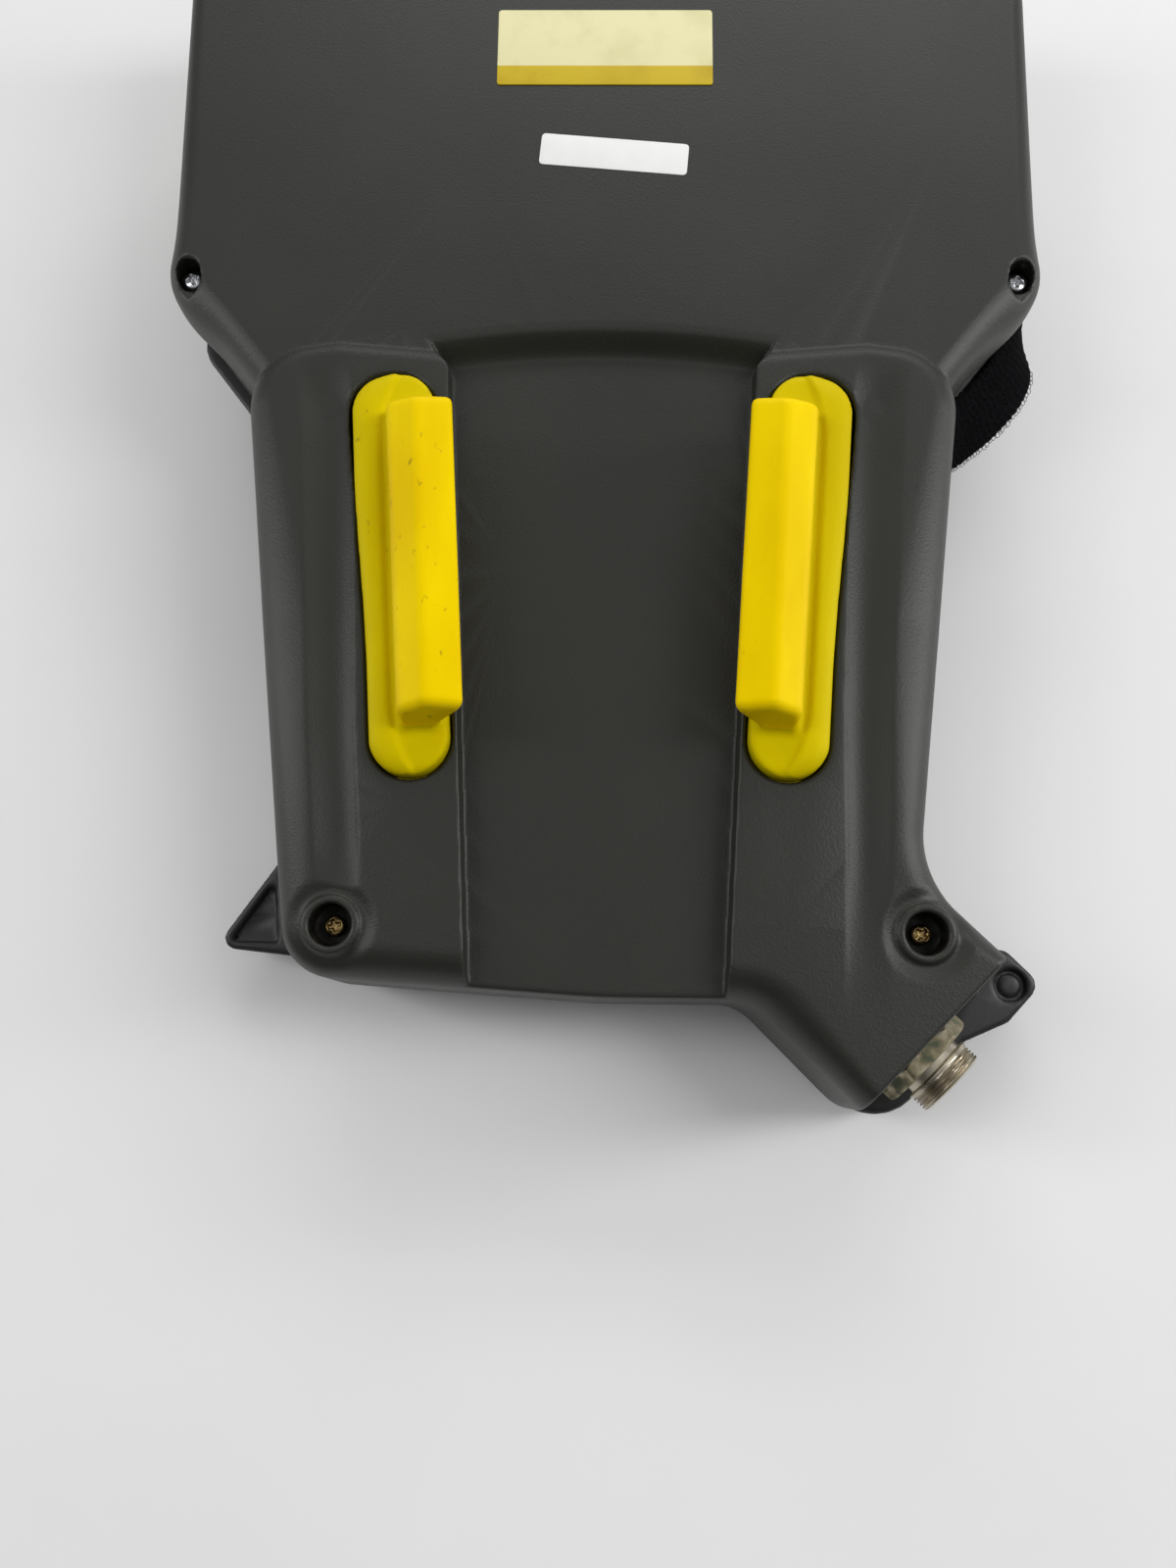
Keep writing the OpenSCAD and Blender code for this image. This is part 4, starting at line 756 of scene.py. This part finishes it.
def build_fasteners():
    inside = Z_FACE + WALL + 2
    build_screws("corner_screws", plain("zinc_screw"), CORNER_HEAD_Z - inside,
                 [standing((*at, CORNER_HEAD_Z), spin=0.4 + i) for i, at in enumerate(CORNERS)])
    build_screws("boss_screws", plain("yellow_zinc"), SCREW_HEAD_Z - inside,
                 [standing((*at, SCREW_HEAD_Z), spin=0.3 + 0.5 * i) for i, at in enumerate(BOSSES)])
    washer_t, webbing_t, bite = 1.4, 2.8, 6
    profile = [(1.65, 0), (5.6, 0), (5.95, 0.35), (5.8, 1.1), (5.2, washer_t), (1.65, washer_t)]
    washers, places = [], []
    for at, out in strap_screws_at():
        seat = np.array(at) + np.array(out) * webbing_t
        washers.append(moved(turned(profile, 48, closed=True), standing(seat, out)))
        places.append(standing(seat + np.array(out) * washer_t, out))
    finish(piece("strap_washers_turned", washers, 35), "strap_washers", plain("black_gloss"))
    build_screws("strap_screws", plain("zinc_screw"), webbing_t + washer_t + bite, places)


# ---- Cable connector ----

def on_connector(points):
    """Connector coordinates, with zero at the end wall's inner side, to the design frame."""
    c, s, h = math.cos(END_TILT), math.sin(END_TILT), math.sqrt(0.5)
    basis = np.array([(s * h, -s * h, -c), (h, h, 0), (c * h, -c * h, s)])
    base = (*along(END_FACE, CONNECTOR_MID), Z_PART + CONNECTOR_H)
    return (np.asarray(points) - (0, 0, WALL)) @ basis + base


def build_connector():
    start, stop, root = 9.6, 15.0, 9.95
    flange = [(8, -7.8), (9.3, -7.8), (9.5, -7.6), (9.5, -3.8), (12.8, -3.8), (13, -3.6), (13, -0.8)]
    groove = [(10, -0.8), (10, 7.3), (9.8, 7.5), (8.9, 7.5), (8.7, 7.7), (8.7, 9.3), (8.9, 9.5), (9.9, start)]
    collar = [(10.2, start + 0.2), (10.2, start + 0.6), (root, start + 0.8)]
    turns = [(root, z) for z in np.arange(start + 0.9, stop - 0.35, 0.125)]
    mouth = [(9.8, stop - 0.3), (9.4, stop), (8.3, stop), (8, stop - 0.3), (8, 3)]
    shell = turned(flange + groove + collar + turns + mouth, closed=True,
                   thread=(start + 0.9, stop - 0.3, 0.95, 0.75))
    shell = piece("connector_shell_threaded", [moved(shell, on_connector)], 30)
    finish(shell, "connector_shell", plain("worn_nickel"))

    f = Field((-14.8, -14.8, 2.2), (14.8, 14.8, 8.2), 0.22)
    across_half, chamfer_r, mid, half_t = 12.5, 13.1, 5.25, 2.25
    angles = (0, math.pi / 3, 2 * math.pi / 3)
    flats = [np.abs(f.x * math.cos(a) + f.y * math.sin(a)) - across_half for a in angles]
    r, faces = np.hypot(f.x, f.y), np.abs(f.z - mid) - half_t
    nut = both(both(flats[0], flats[1], 0.2), flats[2], 0.2)
    nut = both(nut, faces, 0.3)
    nut = both(nut, ((r - chamfer_r) + faces * 1.7) / 2, 0.3)
    nut = minus(nut, r - 10, 0.3)
    nut = piece("connector_nut_chamfered", [moved((*skin_of(f, nut, 30000), 0), on_connector)])
    finish(nut, "connector_nut", nut_metal())


# ---- Controls on the front ----

def build_estop():
    place = standing((*ESTOP_AT, 0))
    end = Z_FACE - 5
    dome = [(0.02, 0.5), (6, 0.35), (10, 0.05), (12.5, 0), (15, 0.25), (16.8, 1), (18.2, 2.2), (18.9, 3.8)]
    rim = [(19, 4.6 + 0.25 * k) for k in range(17)]
    under = [(18.7, 10.2), (17.6, 11.4), (15.4, 12), (8.2, 12)]
    stem = [(8, 12.3), (8, end - 0.2), (7.8, end), (0.02, end)]
    button = turned(dome + rim + under + stem, 144, ribs=(4.6, 8.6, 36, 0.5))
    button = piece("estop_button_turned", [moved(button, place)], 35)
    finish(button, "estop_button", plain("red_plastic"), "estop_button")
    cone = [(8.3, 0), (17.5, 0), (19.2, 0.4), (19.8, 1), (21.6, 4.4), (22, 5), (8.3, 5)]
    collar = turned([(r, end + z) for r, z in cone], closed=True)
    finish(piece("estop_collar_turned", [moved(collar, place)], 30), "estop_collar", plain("collar_yellow"))


def build_selector():
    place = standing((*SELECTOR_AT, 0))
    top, knob_h, grip_half = Z_FACE - 17, 14.2, 7.26
    f = Field((-12, -12, top - 1), (12, 12, Z_FACE - 1.5), 0.28)
    r = np.hypot(f.x, f.y)
    knob = both(both(r - 11, top - f.z, 1.6), f.z - top - knob_h, 0.4)
    knob = minus(knob, both(grip_half - np.abs(f.y), f.z - top - 10, 1.5), 1.2)
    knob = minus(knob, both(both(np.abs(f.x) - 0.6, f.z - top - 0.6), 2.2 - f.y), 0.2)
    knob = minus(knob, both(r - 3, top + 9 - f.z))
    knob = piece("selector_knob_moulded", [moved((*skin_of(f, knob, 24000), 0), place)])
    finish(knob, "selector_knob", plain("black_gloss"), "selector")
    under = Z_FACE - 2.5
    cone = [(6.03, 0), (12.2, 0), (13.6, 0.35), (14.3, 1.1), (14.5, 2.5), (6.03, 2.5)]
    bezel = turned([(r, under + z) for r, z in cone], closed=True)
    finish(piece("selector_bezel_turned", [moved(bezel, place)], 30), "selector_bezel", plain("black_gloss"))


def key(at, size, slot):
    return slab(at, size, 1.5, Z_FACE + 0.2, Z_FACE - 1, 0.45, slot)


def build_keys():
    """Membrane sheets with plain domed keys and the display's glass."""
    across, down, sheet_t = 7, 9, 1
    grey, blue, dark = 1, 2, 3
    parts = [slab(KEYS_AT, KEYS, 4, Z_FACE + sheet_t, Z_FACE, 0.3)]
    pitch = ((KEYS[0] - 14) / across, (KEYS[1] - 14) / down)
    for i in range(across):
        for j in range(down):
            at = (KEYS_AT[0] + (i - 3) * pitch[0], KEYS_AT[1] + (j - 4) * pitch[1])
            slot = blue if j == 8 or i == 6 and j > 1 else dark if i == 0 and j < 3 else grey
            parts.append(key(at, (12.6, 11), slot))
    sheet = piece("key_sheet_membrane", parts, 40)
    caps = [plain(f"key_{tone}") for tone in ("grey", "blue", "dark")]
    finish(sheet, "key_sheet", plain("key_membrane"), others=caps)
    parts = [slab(ROW_AT, ROW, 2, Z_FACE + sheet_t, Z_FACE, 0.3)]
    for i in range(across):
        parts.append(key((ROW_AT[0] + (i - 3) * (ROW[0] - 8) / across, ROW_AT[1]), (15, 7.6), grey))
    row = piece("function_key_membrane", parts, 40)
    finish(row, "function_key_sheet", plain("key_membrane"), others=caps[:1])

    size, border = (WINDOW[0] - 0.2, WINDOW[1] - 0.2), 14
    glass = slab(WINDOW_AT, size, 4, Z_FACE + 2.2, Z_FACE + 0.2, 0.3)
    screen_size = (size[0] - border, size[1] - border)
    screen = slab(WINDOW_AT, screen_size, 1, Z_FACE + 0.24, Z_FACE + 0.19, 0.01, 1)
    window = piece("display_window_lens", [glass, screen], 40)
    finish(window, "display_window", plain("lens_border"), others=[plain("lens_glass")])


# ---- Hand strap ----

def strap_line():
    """Middle line of the webbing: X, Y, Z and lean in degrees, from the upper to the lower end."""
    off, n = 1.4, NECK_L
    flank = (HEAD_W - HEAD_LOW_W) / (HOUSING_L - NECK_L)
    side = [(HEAD_LOW_W + flank * run) / 2 + off for run in (43, 34, 22)]
    return np.array([
        (side[0], n + 43, 50, 0), (side[1], n + 34, 50, 0), (side[2], n + 22, 47.5, 0),
        (129.6, n + 9, 44.5, 8), (130.6, n + 1, 43.5, 20), (129.2, n - 8, 43, 47), (125, n - 16.5, 43, 53),
        (117.4, n - 25.5, 43, 52), (109, n - 33.5, 43, 46), (104.8, n - 41, 43, 26),
        (grip_x(150) + off + 1.4, 150, 42.5, 8), (grip_x(132) + off + 1.2, 132, 41, 0),
        (grip_x(108) + off + 1.2, 108, 38, 0), (grip_x(84) + off + 1, 84, 36, 0),
        (grip_x(62) + off, 62, 35, 0), (grip_x(50) + off, 50, 35, 0), (grip_x(42) + off, 42, 35, 0)])


def spline(knots, per_mm):
    """Smooth line through the knots, at even steps along its length."""
    knots = np.vstack([knots[:1], knots, knots[-1:]])
    t = np.linspace(0, 1, 24, endpoint=False)[:, None]
    out = []
    for p0, p1, p2, p3 in zip(knots, knots[1:], knots[2:], knots[3:]):
        bend = (2 * p0 - 5 * p1 + 4 * p2 - p3) * t * t + (3 * p1 - p0 - 3 * p2 + p3) * t ** 3
        out.append(0.5 * (2 * p1 + (p2 - p0) * t + bend))
    out = np.vstack(out + [knots[-1:]])
    run = np.concatenate([[0], np.cumsum(np.linalg.norm(np.diff(out[:, :3], axis=0), axis=1))])
    even = np.linspace(0, run[-1], int(run[-1] * per_mm) + 1)
    return np.column_stack([np.interp(even, run, out[:, k]) for k in range(out.shape[1])]), even


def build_strap():
    """Webbing with real ribs in a herringbone and a looped selvage."""
    half_w, half_t, rib, pitch = 9.75, 0.85, 0.13, 2.2
    line, run = spline(strap_line(), 1.6)
    ahead = np.gradient(line[:, :2], axis=0)
    ahead /= np.linalg.norm(ahead, axis=1)[:, None]
    out = np.column_stack([-ahead[:, 1], ahead[:, 0], np.zeros(len(line))])
    lean = np.radians(line[:, 3])[:, None]
    face = out * np.cos(lean) + [0, 0, 1] * np.sin(lean)
    up = [0, 0, 1] * np.cos(lean) - out * np.sin(lean)
    columns = np.linspace(-1, 1, 29)
    rings = []
    for i, s in enumerate(run):
        t = columns * (half_w + 0.2 * math.sin(2 * math.pi * s / 2.4))
        chevron = s + 1.1 * np.abs((t / 5) % 2 - 1)
        relief = rib * np.sin(2 * math.pi * chevron / pitch)
        thick = half_t * np.sqrt(np.maximum(1 - np.abs(columns) ** 10, 0.05))
        top = line[i, :3] + face[i] * (thick + relief)[:, None] + up[i] * t[:, None]
        bottom = line[i, :3] - face[i] * (thick - relief)[:, None] + up[i] * t[:, None]
        rings.append(np.vstack([top, bottom[::-1]]))
    strap = piece("hand_strap_webbing", [skinned(rings)], 60)
    finish(strap, "hand_strap", webbing())
    selvage = build_selvage(line[:, :3], ahead, up, face)


def build_selvage(line, ahead, up, face):
    """Loops of grey thread along the strap's worn edge."""
    edge, thread_r, first, last = 9.8, 0.12, 0.22, 0.47
    loops = []
    rng = np.random.default_rng(4)
    a = np.arange(12) * math.pi / 6
    b = np.arange(4) * math.pi / 2
    for i in range(int(first * len(line)), int(last * len(line)), 2):
        r, lift = rng.uniform(0.55, 0.95), rng.uniform(-0.3, 0.5)
        centre = line[i] - up[i] * (edge + 0.5 * r) + face[i] * lift
        turn = np.append(ahead[i], 0) * rng.uniform(0.8, 1.2)
        ring = [centre + (turn * math.cos(t) - up[i] * math.sin(t)) * (r + thread_r * np.cos(b))[:, None]
                + face[i] * thread_r * np.sin(b)[:, None] for t in a]
        loops.append(skinned(ring, closed=True))
    selvage = piece("hand_strap_loops", loops, 80)
    selvage.data.materials.append(plain("grey_thread"))
    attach(selvage, "housing")
    return selvage


# ---- Plates without lettering ----

def build_labels():
    plate = slab(PLATE_AT, (63.6, 25.6), 1, Z_BACK - 0.1, Z_BACK + 0.3, 0.15)
    turn = math.radians(-5)
    sticker = slab(STICKER_AT, (43, 10.2), 1.2, Z_BACK - 0.1, Z_BACK + 0.12, 0.05, turn=turn)
    labels = (("nameplate", plate, plate_print()), ("sticker", sticker, plain("sticker_paper")))
    for name, part, mat in labels:
        label = piece(name, [part], 30)
        label.data.materials.append(mat)
        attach(label, "housing")


# ---- Materials ----

class Look:
    """The nodes of a material or of the world, with short ways to add to them."""

    def __init__(self, tree, shader):
        self.nodes, self.links = tree.nodes, tree.links
        self.shader = tree.nodes[shader]

    def plug(self, node, name, value):
        """Links an input to another node's output or sets it to a plain value."""
        if isinstance(value, bpy.types.NodeSocket):
            self.links.new(value, node.inputs[name])
        else:
            node.inputs[name].default_value = value

    def add(self, kind, inputs, output, **settings):
        """Adds a node and hands back one of its outputs."""
        node = self.nodes.new("ShaderNode" + kind)
        for name, value in settings.items():
            setattr(node, name, value)
        for name, value in inputs.items():
            self.plug(node, name, value)
        return node.outputs[output]

    def feed(self, name, value):
        self.plug(self.shader, name, value)

    def place(self, stretch=(1, 1, 1)):
        """Object coordinates, in metres."""
        return self.add("Mapping", {"Vector": self.add("TexCoord", {}, "Object"), "Scale": stretch}, "Vector")

    def noise(self, scale, detail=3.0, stretch=(1, 1, 1)):
        """Noise with scale features per metre."""
        return self.add("TexNoise", {"Vector": self.place(stretch), "Scale": scale, "Detail": detail}, "Fac")

    def ramp(self, source, stops):
        """Colour ramp through stops of (position, colour or grey value)."""
        node = self.nodes.new("ShaderNodeValToRGB")
        elements = node.color_ramp.elements
        while len(elements) < len(stops):
            elements.new(0.5)
        for element, (at, color) in zip(elements, stops):
            element.position = at
            element.color = (*color, 1) if isinstance(color, tuple) else (color, color, color, 1)
        self.plug(node, "Fac", source)
        return node.outputs["Color"]

    def bump(self, height, strength, distance=0.0002):
        relief = {"Height": height, "Strength": strength, "Distance": distance}
        self.feed("Normal", self.add("Bump", relief, "Normal"))

    def blend(self, amount, a, b):
        return self.add("Mix", {"Factor": amount, "A": a, "B": b}, "Result", data_type="RGBA")


def material(name, color, roughness, build, metallic=0.0, specular=0.5):
    """Material on the standard shader, to which build(look) adds what the surface needs."""
    mat = bpy.data.materials.get(f"look_{name}")
    if mat:
        return mat
    mat = bpy.data.materials.new(f"look_{name}")
    mat.use_nodes = True
    look = Look(mat.node_tree, "Principled BSDF")
    look.feed("Base Color", (*color, 1))
    look.feed("Roughness", roughness)
    look.feed("Metallic", metallic)
    look.feed("Specular IOR Level", specular)
    build(look)
    return mat


def mottled(name, color, roughness, spread, scale, relief=0, grain=1200, metallic=0.0, specular=0.5):
    """Plain material whose tone and gloss vary softly, with a fine relief if asked for."""
    def build(look):
        patches = look.noise(scale, 4)
        dark, light = [tuple(min(c * k, 1) for c in color) for k in (1 - spread, 1 + spread)]
        look.feed("Base Color", look.ramp(patches, [(0.3, dark), (0.7, light)]))
        dull = min(roughness * (1 + spread), 1)
        look.feed("Roughness", look.ramp(patches, [(0.3, roughness * (1 - spread)), (0.7, dull)]))
        if relief:
            look.bump(look.noise(grain), relief)
    return material(name, color, roughness, build, metallic, specular)


def plain(name):
    return mottled(name, *PLAIN[name])


def grain_plastic():
    """Charcoal plastic with a leather-like grain of small cells."""
    def build(look):
        place = {"Vector": look.place(), "Scale": 1700}
        cells = look.add("TexVoronoi", place, "Distance", feature="SMOOTH_F1")
        dark, light = (0.0148, 0.0155, 0.0118), (0.0188, 0.0195, 0.0152)
        look.feed("Base Color", look.ramp(look.noise(22, 5), [(0.3, dark), (0.7, light)]))
        look.bump(cells, 0.3)
    return material("grain_plastic", (0.0185, 0.019, 0.0155), 0.46, build, specular=0.38)


def lever_yellow(side, stains, kind):
    """Soft lemon-yellow plastic specked with dirt where the hand rests; the crest tone, on the ridge above
    the deck, is brighter and more orange than the pad tone: painted light on the ridge and painted shade on
    the pad.
    """
    # pad is the painted-shade tone and crest the painted-light tone of one and the same yellow plastic.
    tones = {"pad": ((0.57, 0.44, 0.0), (0.65, 0.52, 0.0)), "crest": ((0.78, 0.53, 0.0), (0.88, 0.64, 0.0))}

    def build(look):
        dark, light = tones[kind]
        clean = look.ramp(look.noise(55, 5, (1, 0.35, 1)), [(0.32, dark), (0.62, light)])
        specks = look.ramp(look.noise(420, 3, (1, 0.6, 1)), [(0.66, 0), (0.78, stains)])
        where = look.ramp(look.noise(30), [(0.45, 0), (0.6, 1)])
        soiled = look.add("Math", {0: specks, 1: where}, 0, operation="MULTIPLY")
        look.feed("Base Color", look.blend(soiled, clean, (0.32, 0.20, 0.01, 1)))
        look.bump(look.noise(900), 0.12)
        look.feed("Specular Tint", (1.0, 0.8, 0.02, 1))
    return material(f"lever_{kind}_{side}", (0.75, 0.55, 0.0), 0.5, build, specular=0.25)


def nut_metal():
    """Nickel over brass, corroded green and brown in spots."""
    def build(look):
        spots = look.noise(260, 5)
        tones = [(0.36, (0.10, 0.12, 0.07)), (0.48, (0.28, 0.24, 0.15)), (0.62, (0.42, 0.38, 0.28))]
        look.feed("Base Color", look.ramp(spots, tones))
        look.feed("Roughness", look.ramp(spots, [(0.4, 0.7), (0.6, 0.4)]))
        look.feed("Metallic", look.ramp(spots, [(0.38, 0.2), (0.5, 0.95)]))
        look.bump(spots, 0.4, 0.0004)
    return material("nut_metal", (0.3, 0.26, 0.18), 0.5, build, metallic=0.9)


def webbing():
    """Black webbing with a relief of threads."""
    def build(look):
        threads = look.noise(1600, 2)
        dark, light = (0.001, 0.001, 0.0015), (0.007, 0.007, 0.008)
        look.feed("Base Color", look.ramp(threads, [(0.35, dark), (0.75, light)]))
        look.bump(threads, 0.8, 0.0004)
    return material("webbing", (0.004, 0.004, 0.005), 0.9, build, specular=0.04)


def plate_print():
    """Cream plate with a yellow band along its lower quarter, a little soiled."""
    def build(look):
        height = look.add("SeparateXYZ", {0: look.add("TexCoord", {}, "Object")}, "Y")
        band_top = float(put((0, PLATE_AT[1] - 6.4, 0))[1])
        below = look.add("Math", {0: height, 1: band_top}, 0, operation="LESS_THAN")
        soil = look.noise(70, 5)
        cream = look.ramp(soil, [(0.3, (0.66, 0.61, 0.32)), (0.55, (0.76, 0.71, 0.40))])
        band = look.ramp(soil, [(0.3, (0.48, 0.33, 0.004)), (0.55, (0.58, 0.42, 0.008))])
        look.feed("Base Color", look.blend(below, cream, band))
    return material("plate_print", (0.74, 0.69, 0.38), 0.45, build, specular=0.3)


# Arguments of mottled(): colour, roughness, spread and scale of patches, relief, grain, metallic, specular.
PLAIN = {
    # Near-black, a little brown: painted shade inside the screw bores.
    "bore_shade": ((0.006, 0.0055, 0.004), 0.6, 0.5, 400, 0, 1200, 0, 0.15),
    "grey_thread": ((0.16, 0.16, 0.155), 0.8, 0.2, 300),
    "black_plastic": ((0.012, 0.012, 0.012), 0.45, 0.12, 40, 0.2, 1500, 0, 0.4),
    "black_rubber": ((0.02, 0.02, 0.02), 0.75, 0.15, 80),
    "black_gloss": ((0.018, 0.018, 0.018), 0.3, 0.1, 80),
    "black_insulator": ((0.022, 0.022, 0.023), 0.45, 0.12, 90),
    "zinc_screw": ((0.60, 0.61, 0.63), 0.28, 0.08, 300, 0.1, 2500, 1),
    "yellow_zinc": ((0.27, 0.19, 0.08), 0.32, 0.4, 500, 0.15, 2500, 1),
    "worn_nickel": ((0.52, 0.47, 0.38), 0.33, 0.22, 180, 0.2, 1500, 1),
    "red_plastic": ((0.50, 0.012, 0.01), 0.3, 0.06, 60),
    "collar_yellow": ((0.75, 0.48, 0.01), 0.45, 0.05, 60),
    "key_membrane": ((0.065, 0.07, 0.08), 0.5, 0.06, 80, 0.15, 2500),
    "key_grey": ((0.30, 0.31, 0.31), 0.42, 0.05, 80, 0.1, 2500),
    "key_blue": ((0.05, 0.12, 0.24), 0.42, 0.05, 80, 0.1, 2500),
    "key_dark": ((0.10, 0.10, 0.11), 0.42, 0.05, 80, 0.1, 2500),
    "lens_border": ((0.012, 0.012, 0.014), 0.12, 0.05, 40),
    "lens_glass": ((0.035, 0.045, 0.045), 0.08, 0.04, 20),
    "sticker_paper": ((0.80, 0.80, 0.785), 0.5, 0.03, 120),
    "panel_metal": ((0.5, 0.51, 0.53), 0.4, 0.06, 90, 0.1, 1200, 1),
    "sheet_steel": ((0.52, 0.53, 0.55), 0.35, 0.1, 150, 0.1, 1200, 1),
    "ribbon_cable": ((0.55, 0.48, 0.28), 0.3, 0.08, 90),
    "green_board": ((0.01, 0.09, 0.035), 0.35, 0.15, 150, 0.1),
    "gold_pin": ((0.75, 0.52, 0.18), 0.25, 0.08, 300, 0, 1200, 1),
    "natural_plastic": ((0.62, 0.6, 0.54), 0.45, 0.05, 90),
    "spring_steel": ((0.45, 0.46, 0.48), 0.3, 0.1, 300, 0, 1200, 1),
    "floor_white": ((0.77, 0.775, 0.77), 0.7, 0.015, 12),
}


def slot_of(node):
    return {s["node"]: s["material_slot"] for s in frame["record"]["subparts"]}[node]


def finish(part, node, mat, body="housing", others=()):
    """Gives a new piece its materials, lets it ride on a body and stand for a CAD node."""
    for m in (mat, *others):
        part.data.materials.append(m)
    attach(part, body)
    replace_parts(part, node)


def dress_inner_nodes(done):
    """Materials for the CAD nodes that are shown as they are, each named after the node's slot."""
    for node, obj in frame["nodes"].items():
        if node not in done:
            obj.data.materials.clear()
            obj.data.materials.append(plain(slot_of(node)))


# ---- Stage, light and camera ----

def build_stage():
    """Pale floor that touches the emergency stop and the foot's front edge."""
    estop, foot = home("estop_button"), low("front_cover") - ORIGIN
    below_stop, past_foot, gap, size = 12, 5, 0.3, 3000
    rise = math.atan2(Z_FACE, estop[1] - below_stop - (foot[1] + past_foot))
    points = []
    for sx, sy in ((-1, -1), (1, -1), (1, 1), (-1, 1)):
        drop = -(sy * size + below_stop) * math.tan(rise) - gap
        points.append(put((sx * size, sy * size + estop[1], drop)))
    mesh = bpy.data.meshes.new("floor")
    mesh.from_pydata(points, [], [(0, 1, 2, 3)])
    floor = bpy.data.objects.new("floor", mesh)
    bpy.context.scene.collection.objects.link(floor)
    floor.data.materials.append(plain("floor_white"))


def lamp(name, at, target, size, power):
    data = bpy.data.lights.new(name, "AREA")
    data.shape = "RECTANGLE"
    data.size, data.size_y = size
    data.energy = power
    obj = bpy.data.objects.new(name, data)
    obj.location = Vector(at)
    obj.rotation_euler = (Vector(target) - obj.location).to_track_quat("-Z", "Y").to_euler()
    bpy.context.scene.collection.objects.link(obj)


def build_light():
    """Soft sky that is brighter above and towards the head, with a lamp on three sides."""
    world = bpy.data.worlds.new("studio")
    bpy.context.scene.world = world
    world.use_nodes = True
    look = Look(world.node_tree, "Background")
    facing = {0: look.add("TexCoord", {}, "Generated"), 1: (0.2, 0.5, 0.7)}
    height = look.add("VectorMath", facing, "Value", operation="DOT_PRODUCT")
    look.feed("Color", look.ramp(height, [(0.0, 0.1), (0.3, 0.26), (0.7, 0.53)]))
    look.feed("Strength", 1.0)
    lamp("left", (-1.1, 0.1, 0.75), (0, 0, 0.05), (0.3, 1.5), 7.5)
    lamp("right", (1.1, 0.1, 0.75), (0, 0, 0.05), (0.3, 1.5), 12)
    lamp("head_end", (0.2, 1.4, 0.9), (0, 0.1, 0.05), (1.6, 0.4), 8)


def build_camera():
    """Camera above the foot, which looks down on the back and a little towards the head."""
    sensor, focal, above, aside = 36, 25.425, 283, 1.05
    tilt, roll, turn = 10.523, 0.632, 0.626
    data = bpy.data.cameras.new("camera")
    data.sensor_width = sensor
    data.lens = focal
    data.clip_start = 0.01
    camera = bpy.data.objects.new("camera", data)
    camera.rotation_euler = [math.radians(angle) for angle in (tilt, roll, turn)]
    camera.location = put((aside, 0, Z_BACK + above))
    bpy.context.scene.collection.objects.link(camera)
    bpy.context.scene.camera = camera


bpy.context.scene.view_settings.view_transform = "Standard"
build_camera()
build_light()
build_stage()
build_rear_cover()
build_front_cover()
build_levers()
build_fasteners()
build_connector()
build_estop()
build_selector()
build_keys()
build_strap()
build_labels()
dress_inner_nodes({n for o in bpy.data.objects for n in o.get("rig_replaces", [])})
